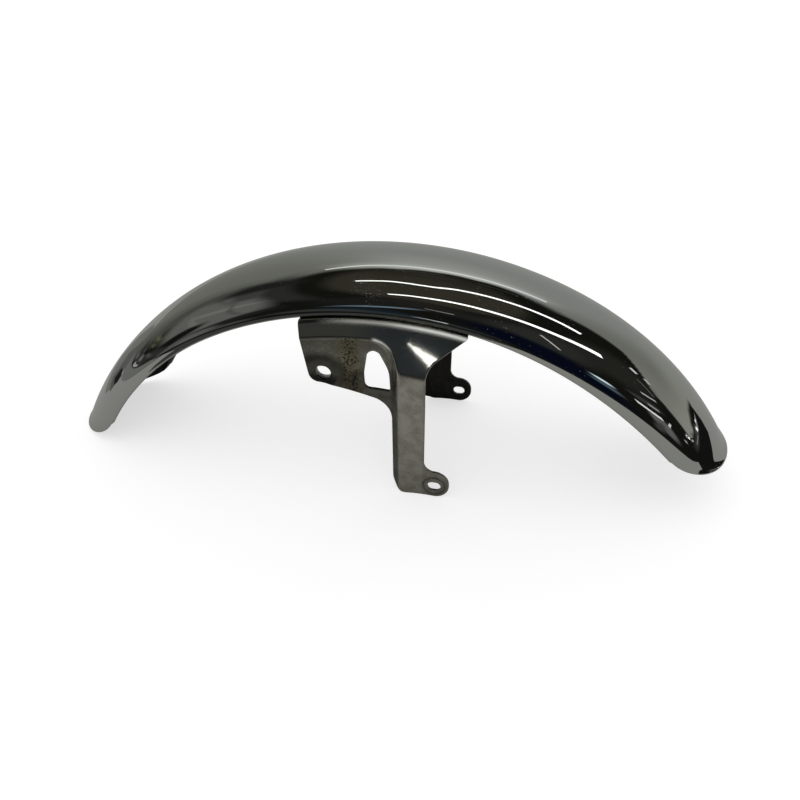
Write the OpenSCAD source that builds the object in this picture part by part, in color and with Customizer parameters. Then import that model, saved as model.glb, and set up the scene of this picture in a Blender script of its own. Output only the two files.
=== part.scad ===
// Front mudguard of a motorcycle: a pressed and chromed steel blade over the front wheel,
// with a right and a left stay welded inside its side walls. It stands on the tail of the
// blade and on the feet of both stays. +X is the front, +Y the left side, +Z up, and the
// origin is on the ground, at the middle of the guard's length and width.

/* [Blade] */
// Width over the side walls
blade_w = 108; // [96:1:124]
// Radius of the crown over the middle of the blade, from the wheel axle
crown_r = 355; // [340:1:370]
// Depth of the section from the crown to the lip
section_h = 30; // [26:1:36]
// Exponent of the section, where 2 is a half ellipse
section_form = 1.8; // [1.7:0.05:2]
// Thickness of the blade's sheet
blade_t = 1.2; // [1:0.1:1.4]
// Thickness of the rolled lip
lip_t = 2.4; // [2.2:0.1:2.8]
// Height of the rolled lip
lip_h = 3; // [2.5:0.1:3.5]

/* [Blade ends] */
// Angle of the tail's tip behind the wheel axle
tail_deg = 62.6; // [58:0.1:66]
// Angle where the flatter arc of the tail starts
tail_from = 33.6; // [28:0.1:40]
// Radius of the flatter arc of the tail
tail_r = 438; // [400:1:480]
// How far the tail's rounded end reaches past its lips
tail_reach = 58; // [40:1:70]
// How far the lips of the tail run in from their arc
tail_tuck = 1.2; // [0:0.1:2]
// Angle of the nose's tip ahead of the wheel axle
nose_deg = 54.5; // [50:0.1:58]
// Angle where the tighter arc of the nose starts
nose_from = 23.6; // [20:0.1:28]
// Radius of the tighter arc of the nose
nose_r = 298; // [280:1:320]
// How far the nose's rounded end reaches past its lips
nose_reach = 49; // [40:1:60]
// How far the lips of the nose run in from their arc
nose_tuck = 8; // [4:0.5:10]
// Flare of the rim at both ends
rim_flare = 1.2; // [0:0.1:2]
// Width of the flared rim
rim_w = 9; // [6:0.5:14]

/* [Stay sheet] */
// Thickness of the stays' sheet
stay_t = 2; // [1.6:0.1:2.4]
// Gap of the weld between a stay and the blade
weld_gap = 0.3; // [0.2:0.05:0.4]
// Height of the weld flange inside the blade
flange_h = 12; // [9:1:14]
// How far the shelf of a stay comes out past the side wall
shelf_out = 3.7; // [3.2:0.1:4.4]
// Radius of the bend between the shelf and the skirt
shelf_r = 3; // [2.8:0.1:3.6]
// Slope of the skirt below the shelf, from upright
skirt_deg = 20; // [18:0.5:22]
// How far the plate stands out past the side wall
plate_out = 8.2; // [7.8:0.1:9]
// How far the leg stands out past the side wall
leg_out = 16.5; // [15.5:0.1:17.5]
// Slope of the bend between the plate and the leg
ramp_deg = 49; // [45:1:52]
// Radius in the plate's upper front corner
plate_corner_r = 16; // [12:1:20]

/* [Stay outline] */
// Front end of a stay, ahead of the wheel axle
stay_front = 74.3; // [71:0.1:78]
// Lower rear corner of a stay, behind the wheel axle
stay_rear = 49.1; // [47:0.1:55]
// Slope of the rear edge, from upright
rear_edge_deg = 5.6; // [3:0.1:8]
// Radius of the lower rear corner
rear_corner_r = 8.5; // [6:0.5:10]
// Depth of the lower rear corner below the lip
plate_drop = 56.3; // [55:0.1:60]
// Slope of the plate's lower edge, from level
plate_edge_deg = 12; // [10:0.5:14]
// Radius between the plate's lower edge and the leg
crook_r = 19; // [13:1:22]
// Depth of the foot below the lip
leg_drop = 158.2; // [152:0.1:166]
// Rear edge of the leg at the foot, ahead of the wheel axle
leg_x = 13.3; // [12.5:0.1:14.5]
// Width of the leg at the foot
leg_w = 28; // [27:0.1:30]
// Lean of the leg, from upright
leg_lean_deg = 2.1; // [1:0.1:3]
// Radius of the foot's rear corner
foot_r = 12.5; // [9:0.5:14]
// Depth of the gusset's foot on the leg below the lip
gusset_drop = 32.9; // [31:0.1:35]
// Slope of the gusset's front edge, from level
gusset_deg = 37; // [36:0.5:39]
// Radius between the gusset's edge and the leg
gusset_r = 20; // [14:1:24]

/* [Lug, slots and window] */
// Reach of the lug ahead of the wheel axle
lug_front = 63.1; // [62:0.1:66]
// Height of the lug over the ground
lug_h = 27.1; // [26:0.1:29]
// Radius of the lug's corners
lug_r = 12.3; // [10:0.1:12.9]
// Width of the lower slot
slot_w = 9; // [7:0.5:10]
// Length of the lower slot from end to end
slot_l = 11.5; // [10.5:0.5:13]
// Place of the lower slot ahead of the wheel axle
slot_x = 50.8; // [50:0.1:52]
// Height of the lower slot over the ground
slot_z = 12.1; // [11:0.1:13]
// Radius of the raised pad round the lower slot
pad_r = 9; // [8.4:0.1:9.6]
// Height of the raised pad
pad_h = 0.6; // [0.4:0.1:1]
// Width of the upper slot
collar_w = 11.4; // [10:0.2:12]
// Length of the upper slot from end to end
collar_l = 13.4; // [12.2:0.2:14.6]
// Depth of the collar round the upper slot, from the face of the plate
collar_h = 5.5; // [4.5:0.5:7]
// Wall of the collar
collar_t = 1.6; // [1.2:0.1:2]
// Place of the upper slot behind the wheel axle
collar_x = 36.5; // [35:0.1:37.5]
// Depth of the upper slot's middle below the lip
collar_drop = 47; // [46:0.1:48]
// Radius of the shallow dish round the collar
dish_r = 13; // [12.4:0.1:13.4]
// Depth of the shallow dish
dish_h = 1.5; // [0.8:0.1:2]
// Height of the window in the plate
window_h = 33.5; // [28:0.5:34.5]
// Width of the window at its foot
window_w = 19.4; // [16:0.2:20]
// Rear corner of the window, behind the wheel axle
window_x = 3.4; // [2.6:0.1:5]
// Rise of the window's foot above the plate's lower edge
window_rise = 9.6; // [8:0.2:11]

/* [Hidden] */
$fn = 64;

blade_color = [0.72, 0.73, 0.72];
stay_color = [0.55, 0.54, 0.50];

// Blade: half the width, the lip's radius and the ground under the feet, from the axle
half_w = blade_w / 2;
lip_r = crown_r - section_h;
floor_z = lip_r - leg_drop;
lip_round = lip_t / 2;
section_steps = 12;
inner_steps = 8;
run_steps = 48;
rim_steps = 3;
lip_steps = 3;
// Span over which the lips run in, at the nose and at the tail
nose_ease = [nose_from - 14.1, nose_deg - 6.6];
tail_ease = [tail_from - 8.2, tail_from + 9.8];
// Form of the rounded ends: smaller values keep the end broad
nose_form = 0.55;
tail_form = 0.5;

// Radius at an angle past the start of an arc of another radius that joins without a kink
function joined(r, other, past) = (r - other) * cos(past)
    + sqrt(other * other - pow((r - other) * sin(past), 2));
// Crown's radius from the axle at an angle along the blade
function crown_at(a) = a > nose_from ? joined(crown_r, nose_r, a - nose_from)
    : a < -tail_from ? joined(crown_r, tail_r, -tail_from - a)
    : crown_r;
// Soft step from 0 to 1
function ease(t) = let (s = min(max(t, 0), 1)) s * s * (3 - 2 * s);
// Lip's radius from the axle at an angle along the blade
function lip_at(a) = lip_r
    - nose_tuck * ease((a - nose_ease[0]) / (nose_ease[1] - nose_ease[0]))
    - tail_tuck * ease((-a - tail_ease[0]) / (tail_ease[1] - tail_ease[0]));
// Half width of the section at a height over the lip, a sheet's or a gap's depth inside it
function wall_at(up, inside) = (half_w - inside)
    * pow(1 - pow(min(up / (section_h - inside), 1), section_form), 1 / section_form);

// The blade turns on the axle until its tail rests on the ground of the feet
tail_edge = crown_at(-tail_deg) + rim_flare;
nose_edge = crown_at(nose_deg) + rim_flare;
turn = acos(floor_z / (tail_edge - blade_t)) - tail_deg;
mid_x = (nose_edge * sin(nose_deg - turn) - tail_edge * sin(tail_deg + turn)) / 2;

// Section angle of a step, closer together toward the lips
function step_deg(j) = sign(j) * 90 * (1 - pow(1 - abs(j) / section_steps, 1.8));
// End of the blade at a section angle: the middle reaches further than the lips
function nose_end(s) = nose_deg
    - nose_reach * (1 - pow(max(cos(s), 0), nose_form)) * 180 / (PI * nose_edge);
function tail_end(s) = -tail_deg
    + tail_reach * (1 - pow(max(cos(s), 0), tail_form)) * 180 / (PI * tail_edge);

// Station angle along the blade, with closer stations in both rims
stations = run_steps + 2 * rim_steps;
function station_deg(i, s) = let (
        rim = rim_w * 180 / (PI * crown_r),
        first = tail_end(s),
        last = nose_end(s)
    )
    i < rim_steps ? first + rim * i / rim_steps
    : i > stations - rim_steps ? last - rim * (stations - i) / rim_steps
    : first + rim + (last - first - 2 * rim) * (i - rim_steps) / run_steps;
// Share of the flare at a station
function flare_at(i) = let (d = min(i, stations - i) / rim_steps)
    rim_flare * pow(max(1 - d, 0), 2);

// A point of the blade: half width, height over the lip and angle along the blade
function blade_point(y, up, a) = let (r = lip_at(a) + up)
    [r * sin(a - turn), y, r * cos(a - turn)];
// A point on the skin at a section angle, a sheet's depth inside the outer face
function skin_point(i, s, inside) = let (
        a = station_deg(i, s),
        rise = (crown_at(a) - lip_at(a) - inside) * pow(cos(s), 2 / section_form),
        out = (half_w - inside) * pow(abs(sin(s)), 2 / section_form) * sign(s)
    )
    blade_point(out, rise + flare_at(i) * cos(s), a);
// The rolled lip on one side: its round bottom, its inner wall and the step to the sheet
function lip_points(i, side) = let (
        a = station_deg(i, 90),
        b = station_deg(i, step_deg(section_steps - 3))
    )
    concat(
        [for (k = [1 : lip_steps])
            let (d = 180 * k / lip_steps)
            blade_point(side * (half_w - lip_round + lip_round * cos(d)),
                -lip_round * sin(d), a)],
        [blade_point(side * (half_w - lip_t), lip_h, b),
            blade_point(side * wall_at(lip_h, blade_t), lip_h, b)]
    );
function reversed(list) = [for (k = [len(list) - 1 : -1 : 0]) list[k]];
// One closed ring: outer face from right to left, left lip, inner face, right lip
function blade_ring(i) = concat(
    [for (j = [-section_steps : section_steps]) skin_point(i, step_deg(j), 0)],
    lip_points(i, 1),
    [for (j = [inner_steps : -1 : -inner_steps]) skin_point(i, step_deg(j), blade_t)],
    reversed(lip_points(i, -1))
);
ring_size = 4 * section_steps - 4 + 2 * (lip_steps + 2) - 2 * (section_steps - inner_steps - 3);

module blade() {
    rings = [for (i = [0 : stations]) each blade_ring(i)];
    n = len(rings) / (stations + 1);
    outer = 2 * section_steps + 1;
    lip_n = lip_steps + 2;
    // Index of the inner face's point that lies under the outer face's step
    function under(j) = outer + lip_n + inner_steps - j;
    side_faces = [for (i = [0 : stations - 1])
        for (k = [0 : n - 1])
            let (
                a = i * n + k,
                b = i * n + (k + 1) % n
            )
            each [[a, b + n, b], [a, a + n, b + n]]];
    // End face between the outer and the inner skin, and round each lip
    strip = [for (j = [-inner_steps : inner_steps - 1])
        let (p = section_steps + j)
        each [[p, p + 1, under(j + 1)], [p, under(j + 1), under(j)]]];
    left_hub = outer + lip_n - 1;
    left_cap = [for (p = [section_steps + inner_steps : left_hub - 2])
        [p, p + 1, left_hub]];
    right_hub = outer + lip_n + 2 * inner_steps + 1;
    right_cap = concat(
        [for (p = [0 : section_steps - inner_steps - 1]) [p, p + 1, right_hub]],
        [for (p = [right_hub + 1 : n - 1]) [p, (p + 1) % n, right_hub]]
    );
    closing = [[section_steps + inner_steps, left_hub, left_hub + 1],
        [section_steps - inner_steps, right_hub - 1, right_hub]];
    tail_cap = concat(strip, left_cap, right_cap, closing);
    nose_cap = [for (f = tail_cap) [f[2], f[1], f[0]] + [1, 1, 1] * (stations * n)];
    color(blade_color)
        translate([-mid_x, 0, -floor_z])
            polyhedron(points = rings, faces = concat(side_faces, tail_cap, nose_cap),
                convexity = 6);
}

// Stays: rows run down the sheet at a set distance from the axle, columns lean with the leg
plate_y = half_w + plate_out;
leg_y = half_w + leg_out;
flange_y = half_w - lip_t - weld_gap;
shelf_rho = lip_r - lip_round - weld_gap;
lean = tan(leg_lean_deg);
ramp_slope = tan(ramp_deg);
// Centre of the bend between shelf and skirt, and the end of that bend on the skirt
shelf_bend_y = half_w + shelf_out - shelf_r * tan((90 - skirt_deg) / 2);
skirt_y = shelf_bend_y + shelf_r * cos(skirt_deg);
skirt_rho = shelf_rho - shelf_r + shelf_r * sin(skirt_deg);
// Rows where the skirt meets the plate and where the gusset meets the leg
plate_rho = skirt_rho - (plate_y - skirt_y) / tan(skirt_deg);
leg_rho = skirt_rho - (leg_y - skirt_y) / tan(skirt_deg);
// Width of the blends between skirt, plate, ramp and leg
crest_soft = 0.8;
ramp_soft = 3;
crest_x = leg_x + (leg_y - plate_y) / ramp_slope;
ramp_side = ramp_soft / ramp_slope;

function soft_min(a, b, w) = min(a, b) - pow(max(w - abs(a - b), 0), 2) / (4 * w);
function soft_max(a, b, w) = max(a, b) + pow(max(w - abs(a - b), 0), 2) / (4 * w);
// Distance outside the plate's flat field, which has a rounded upper front corner
function past_plate(c, rho) = let (
        dx = c - leg_x + plate_corner_r,
        dr = rho - plate_rho - 0.6 + plate_corner_r
    )
    norm([max(dx, 0), max(dr, 0)]) + min(max(dx, dr), 0) - plate_corner_r;
// How far the outer face stands out below the shelf
function face_y(c, rho) = let (
        skirt = skirt_y + (skirt_rho - rho) * tan(skirt_deg),
        rise = soft_max(ramp_slope * past_plate(c, rho), 0, ramp_soft)
    )
    soft_min(skirt, plate_y + soft_min(rise, leg_y - plate_y, ramp_soft), crest_soft);

// Rows of the outer face: [distance from the axle, how far out], below 0 as face_y gives
flange_rows = [for (k = [2 : -1 : 1])
    let (up = lip_round + weld_gap + (flange_h - lip_round - weld_gap) * k / 2)
    [lip_r + up, min(flange_y, wall_at(up, blade_t + weld_gap))]];
seat_rows = [for (d = [180 : 45 : 270])
    let (r = lip_round + weld_gap)
    [lip_r + r * sin(d), half_w - lip_round + r * cos(d)]];
bend_rows = [for (k = [0 : 2])
    let (d = 90 - (90 - skirt_deg) * k / 2)
    [shelf_rho - shelf_r + shelf_r * sin(d), shelf_bend_y + shelf_r * cos(d)]];
crest_rows = [for (d = [2.2, 0, -2.2]) [plate_rho + d, -1]];
gusset_rows = [for (k = [1 : 4])
    [plate_rho - 2.2 - (plate_rho - 4.4 - leg_rho) * k / 4, -1]];
leg_rows = [for (d = [0, -2.2]) [leg_rho + d, -1]];
low_rows = [for (r = [leg_rho - 12, floor_z - 6]) [r, -1]];
rows = concat(flange_rows, seat_rows, bend_rows, crest_rows, gusset_rows, leg_rows, low_rows);
// Columns by their place at the ground
rear_end = -(stay_rear + tan(rear_edge_deg) * (plate_drop + flange_h) + lean * leg_drop + 5);
columns = [rear_end, -30, leg_x - 20, leg_x - 12, leg_x - 6,
    leg_x - ramp_side, leg_x, leg_x + ramp_side,
    crest_x - ramp_side, crest_x, crest_x + ramp_side, 36, 54, stay_front + 3];

// A point of the outer face of the right stay in a column and a row
function sheet_point(c, row) = let (
        x0 = c + lean * (row[0] - floor_z),
        r = row[0] - lip_r + lip_at(asin(x0 / row[0]) + turn),
        z0 = sqrt(r * r - x0 * x0),
        x = c + lean * (z0 - floor_z)
    )
    [x, row[1] < 0 ? -face_y(c, row[0]) : -row[1], sqrt(r * r - x * x)];
// Normal of the outer face at a row and a column of the grid
function sheet_normal(grid, i, j) = let (
        along = grid[i][min(j + 1, len(columns) - 1)] - grid[i][max(j - 1, 0)],
        down = grid[min(i + 1, len(rows) - 1)][j] - grid[max(i - 1, 0)][j],
        n = cross(down, along)
    )
    n / norm(n);

// Corners of an outline with their radii, [x, z, radius], turned into points
function corner_points(a, b, c) = let (
        p = [b[0], b[1]],
        u = [a[0] - b[0], a[1] - b[1]] / norm([a[0] - b[0], a[1] - b[1]]),
        v = [c[0] - b[0], c[1] - b[1]] / norm([c[0] - b[0], c[1] - b[1]]),
        half = acos(u * v) / 2,
        m = (u + v) / norm(u + v),
        hub = p + m * (b[2] / sin(half)),
        from = p + u * (b[2] / tan(half)) - hub,
        sweep = (180 - 2 * half) * sign(v[0] * u[1] - v[1] * u[0]),
        steps = max(2, ceil(abs(sweep) / 14))
    )
    b[2] < 0.1 ? [p]
    : [for (k = [0 : steps])
        let (d = sweep * k / steps)
        hub + [from[0] * cos(d) - from[1] * sin(d), from[0] * sin(d) + from[1] * cos(d)]];
function rounded(corners) = let (n = len(corners))
    [for (k = [0 : n - 1])
        each corner_points(corners[(k + n - 1) % n], corners[k], corners[(k + 1) % n])];

// Corners of a stay, seen from the right side, in the frame of the axle
rear_z = lip_r - plate_drop;
edge_fall = tan(plate_edge_deg);
crook_x = (leg_x + lean * (rear_z - edge_fall * stay_rear - floor_z)) / (1 + lean * edge_fall);
crook_z = rear_z - edge_fall * (stay_rear + crook_x);
leg_front = leg_x + leg_w;
gusset_z = lip_r - gusset_drop;
gusset_x = leg_front + lean * (gusset_z - floor_z);
top_z = lip_r + flange_h + 6;
stay_corners = [
    [-stay_rear - tan(rear_edge_deg) * (top_z - rear_z), top_z, 0],
    [-stay_rear, rear_z, rear_corner_r],
    [crook_x, crook_z, crook_r],
    [leg_x, floor_z, foot_r],
    [lug_front, floor_z, lug_r],
    [lug_front, floor_z + lug_h, lug_r],
    [leg_front + lean * lug_h, floor_z + lug_h, 8.5],
    [gusset_x, gusset_z, gusset_r],
    [stay_front, gusset_z + tan(gusset_deg) * (stay_front - gusset_x), 1.5],
    [stay_front, top_z, 0]
];
// Corners of the window, an arch that leans with the leg
window_z = rear_z - edge_fall * (stay_rear + 6) + window_rise;
window_corners = [
    [-window_x, window_z + 0.6, 2],
    [window_w - window_x, window_z - 0.8, 2],
    [window_w - window_x - 0.2, window_z + window_h * 0.52, 26],
    [window_w * 0.62 - window_x, window_z + window_h + 1, window_w * 0.2],
    [window_w * 0.3 - window_x, window_z + window_h + 0.6, window_w * 0.2],
    [-window_x - 0.8, window_z + window_h * 0.42, 26]
];

// A straight block with an outline in the side view, from one depth to another
module side_block(corners, near, far) {
    rotate([90, 0, 0])
        translate([0, 0, near])
            linear_extrude(height = far - near)
                polygon(rounded(corners));
}

// A slot with round ends, lengthways in the side view
module side_slot(length, width, near, far) {
    run = (length - width) / 2;
    rotate([90, 0, 0])
        translate([0, 0, near]) {
            for (side = [-1, 1])
                translate([side * run, 0, 0])
                    cylinder(r = width / 2, h = far - near);
            translate([-run, -width / 2, 0])
                cube([2 * run, width, far - near]);
        }
}

// A round block or cone in the side view
module side_round(near_r, far_r, near, far) {
    rotate([90, 0, 0])
        translate([0, 0, near])
            cylinder(r1 = near_r, r2 = far_r, h = far - near);
}

// The formed sheet of the right stay before its outline is cut
module formed_sheet() {
    nr = len(rows);
    nc = len(columns);
    outer = [for (row = rows) [for (c = columns) sheet_point(c, row)]];
    inner = [for (i = [0 : nr - 1]) [for (j = [0 : nc - 1])
        outer[i][j] - stay_t * sheet_normal(outer, i, j)]];
    points = concat([for (line = outer) each line], [for (line = inner) each line]);
    back = nr * nc;
    faces = [for (i = [0 : nr - 2]) for (j = [0 : nc - 2])
        let (
            a = i * nc + j,
            b = a + 1,
            c = b + nc,
            d = a + nc
        )
        each [[a, b, c], [a, c, d],
            [back + a, back + c, back + b], [back + a, back + d, back + c]]];
    rim = concat(
        [for (j = [0 : nc - 2]) [j, j + 1]],
        [for (i = [0 : nr - 2]) [i * nc + nc - 1, (i + 1) * nc + nc - 1]],
        [for (j = [nc - 1 : -1 : 1]) [(nr - 1) * nc + j, (nr - 1) * nc + j - 1]],
        [for (i = [nr - 1 : -1 : 1]) [i * nc, (i - 1) * nc]]
    );
    rim_faces = [for (e = rim)
        each [[e[0], back + e[0], back + e[1]], [e[0], back + e[1], e[1]]]];
    polyhedron(points = points, faces = concat(faces, rim_faces), convexity = 6);
}

// The right stay in the frame of the axle, with the outer face toward -Y
module right_stay() {
    difference() {
        union() {
            intersection() {
                formed_sheet();
                side_block(stay_corners, flange_y * 0.6, leg_y + 5);
            }
            translate([-collar_x, 0, lip_r - collar_drop]) {
                side_round(dish_r - stay_t * 1.6, dish_r, plate_y - stay_t - dish_h,
                    plate_y - stay_t + 0.02);
                side_slot(collar_l + 2 * collar_t, collar_w + 2 * collar_t,
                    plate_y - collar_h, plate_y - dish_h - 0.2);
            }
            translate([slot_x, 0, floor_z + slot_z])
                side_round(pad_r, pad_r - pad_h, leg_y - stay_t / 2, leg_y + pad_h);
        }
        side_block(window_corners, plate_y - stay_t - 2, plate_y + 4);
        translate([-collar_x, 0, lip_r - collar_drop]) {
            side_slot(collar_l, collar_w, plate_y - collar_h - 1, plate_y + 1);
            side_round(collar_l / 2, dish_r, plate_y - dish_h, plate_y + 0.02);
        }
        translate([slot_x, 0, floor_z + slot_z]) {
            side_slot(slot_l, slot_w, leg_y - stay_t - 1, leg_y + pad_h + 1);
            side_round(pad_r - 0.8, pad_r - 0.8 - pad_h, leg_y - stay_t - 1,
                leg_y - stay_t + pad_h);
        }
    }
}

module right_bracket() {
    color(stay_color)
        translate([-mid_x, 0, -floor_z])
            right_stay();
}

module left_bracket() {
    color(stay_color)
        translate([-mid_x, 0, -floor_z])
            mirror([0, 1, 0])
                right_stay();
}

blade();
right_bracket();
left_bracket();
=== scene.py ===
import logging
import math
from dataclasses import dataclass, field
from enum import Enum
from itertools import accumulate
from typing import Sequence

import bpy
import numpy as np
from bpy.types import ID, Material, Mesh, Node, NodeSocket, NodeTree, Object, World
from mathutils import Matrix, Vector
from mathutils.geometry import delaunay_2d_cdt


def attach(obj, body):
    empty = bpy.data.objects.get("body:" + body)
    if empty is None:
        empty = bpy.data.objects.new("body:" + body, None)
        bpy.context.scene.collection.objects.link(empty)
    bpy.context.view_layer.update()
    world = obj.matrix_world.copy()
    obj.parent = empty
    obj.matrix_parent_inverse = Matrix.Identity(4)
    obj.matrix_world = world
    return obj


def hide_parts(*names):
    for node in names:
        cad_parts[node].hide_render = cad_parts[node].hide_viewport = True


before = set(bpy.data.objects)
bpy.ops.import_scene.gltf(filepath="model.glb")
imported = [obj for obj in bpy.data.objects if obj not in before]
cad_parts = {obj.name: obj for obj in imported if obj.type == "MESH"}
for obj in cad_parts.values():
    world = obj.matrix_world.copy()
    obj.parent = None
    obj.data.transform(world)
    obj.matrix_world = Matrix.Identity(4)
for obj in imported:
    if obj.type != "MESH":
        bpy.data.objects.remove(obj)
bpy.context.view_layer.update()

LOG = logging.getLogger("mudguard")
MM = 0.001
ARC_STEP = 0.6


class Side(Enum):
    """The side of the motorcycle that a stay is on, with its sign along Y."""

    RIGHT = -1
    LEFT = 1


# ---- small helpers ---------------------------------------------------------------------


def linear(colour: str) -> tuple[float, float, float, float]:
    """Turns an sRGB hex colour into Blender's linear colour.

    Args:
        colour: six hex digits after a hash, such as "#c8c9c7".

    Returns:
        Linear red, green, blue and an alpha of 1.
    """
    parts = [int(colour[i:i + 2], 16) / 255 for i in (1, 3, 5)]
    low, knee = 12.92, 0.04045
    r, g, b = (p / low if p <= knee else ((p + 0.055) / 1.055) ** 2.4 for p in parts)
    return (r, g, b, 1.0)


def grey(level: float) -> tuple[float, float, float, float]:
    """Gives a linear neutral colour of one level."""
    return (level, level, level, 1.0)


def add_node(tree: NodeTree, kind: str, settings: dict | None = None,
             inputs: dict | None = None) -> Node:
    """Adds one node, sets its properties and fills or links its inputs.

    Args:
        tree: the material's or world's node tree.
        kind: the node's type name without the ShaderNode prefix.
        settings: property names and their values.
        inputs: input names or indices, each with a value or an output socket to link.

    Returns:
        The new node.
    """
    node = tree.nodes.new(f"ShaderNode{kind}")
    for name, value in (settings or {}).items():
        setattr(node, name, value)
    for name, value in (inputs or {}).items():
        socket = node.inputs[name]
        if isinstance(value, NodeSocket):
            tree.links.new(value, socket)
        else:
            socket.default_value = value
    return node


def ease(t: np.ndarray) -> np.ndarray:
    """Soft step from 0 to 1 over the same span."""
    s = np.clip(t, 0.0, 1.0)
    return s * s * (3 - 2 * s)


def fade(value: np.ndarray, start: float | np.ndarray, end: float) -> np.ndarray:
    """Soft step from 0 at a start to 1 at an end, which may lie on either side of it."""
    return ease((value - start) / (end - start))


def bell(offset: np.ndarray, width: float) -> np.ndarray:
    """Round hump of 1 at an offset of 0 that falls away over a width."""
    return np.exp(-(offset / width) ** 2)


def soft_min(a: np.ndarray, b: np.ndarray | float, width: float) -> np.ndarray:
    """Lower of two values with a round blend of a given width between them."""
    return np.minimum(a, b) - np.maximum(width - np.abs(a - b), 0) ** 2 / (4 * width)


def soft_max(a: np.ndarray, b: np.ndarray | float, width: float) -> np.ndarray:
    """Higher of two values with a round blend of a given width between them."""
    return np.maximum(a, b) + np.maximum(width - np.abs(a - b), 0) ** 2 / (4 * width)


def slope(degrees: float) -> float:
    """Rise for each mm along a slope of a given angle."""
    return math.tan(math.radians(degrees))


def unit(rows: np.ndarray) -> np.ndarray:
    """Scales each row to a length of 1."""
    return rows / np.linalg.norm(rows, axis=1)[:, None]


def grid_faces(rows: int, cols: int, closed: bool = False) -> list[list[int]]:
    """Lists the square faces of a grid of vertices.

    Args:
        rows: number of rows.
        cols: vertices in each row.
        closed: whether the last vertex of a row joins its first.

    Returns:
        Vertex indices of each face, row by row.
    """
    index = np.arange(rows * cols).reshape(rows, cols)
    if closed:
        index = np.column_stack([index, index[:, 0]])
    return np.stack([index[:-1, :-1], index[1:, :-1], index[1:, 1:], index[:-1, 1:]],
                    axis=-1).reshape(-1, 4).tolist()


def add_object(name: str, data: ID) -> Object:
    """Links a new object.

    Args:
        name: name of the object.
        data: the mesh or camera that it holds.

    Returns:
        The object.
    """
    made = bpy.data.objects.new(name, data)
    bpy.context.scene.collection.objects.link(made)
    return made


def add_mesh(name: str, points: Sequence, faces: Sequence) -> Object:
    """Links a new mesh object.

    Args:
        name: name of the mesh and the object.
        points: vertices in metres.
        faces: vertex indices of each face.

    Returns:
        The object.
    """
    mesh = bpy.data.meshes.new(name)
    mesh.from_pydata(points, [], faces)
    return add_object(name, mesh)


def paint(mesh: Mesh, name: str, values: np.ndarray) -> None:
    """Stores four values for each vertex as a colour attribute."""
    layer = mesh.color_attributes.new(name, "FLOAT_COLOR", "POINT")
    layer.data.foreach_set("color", values.astype(np.float32).ravel())


def make_piece(name: str, points: np.ndarray, faces: Sequence[Sequence[int]],
               offset: np.ndarray, marks: np.ndarray) -> Object:
    """Makes a smooth-shaded piece of the guard.

    Args:
        name: name of the object.
        points: one row of x, y, z in mm for each vertex, from the wheel axle.
        faces: vertex indices of each face.
        offset: x, y, z in mm that brings the axle's frame to the row's frame.
        marks: four shares of wear and painted light for each vertex, which the finish
            reads.

    Returns:
        The linked object.
    """
    made = add_mesh(name, ((points + offset) * MM).tolist(), [list(f) for f in faces])
    paint(made.data, "marks", marks)
    made.data.validate()
    made.data.shade_smooth()
    return made


# ---- the lines that blade and stays share ------------------------------------------------


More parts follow.
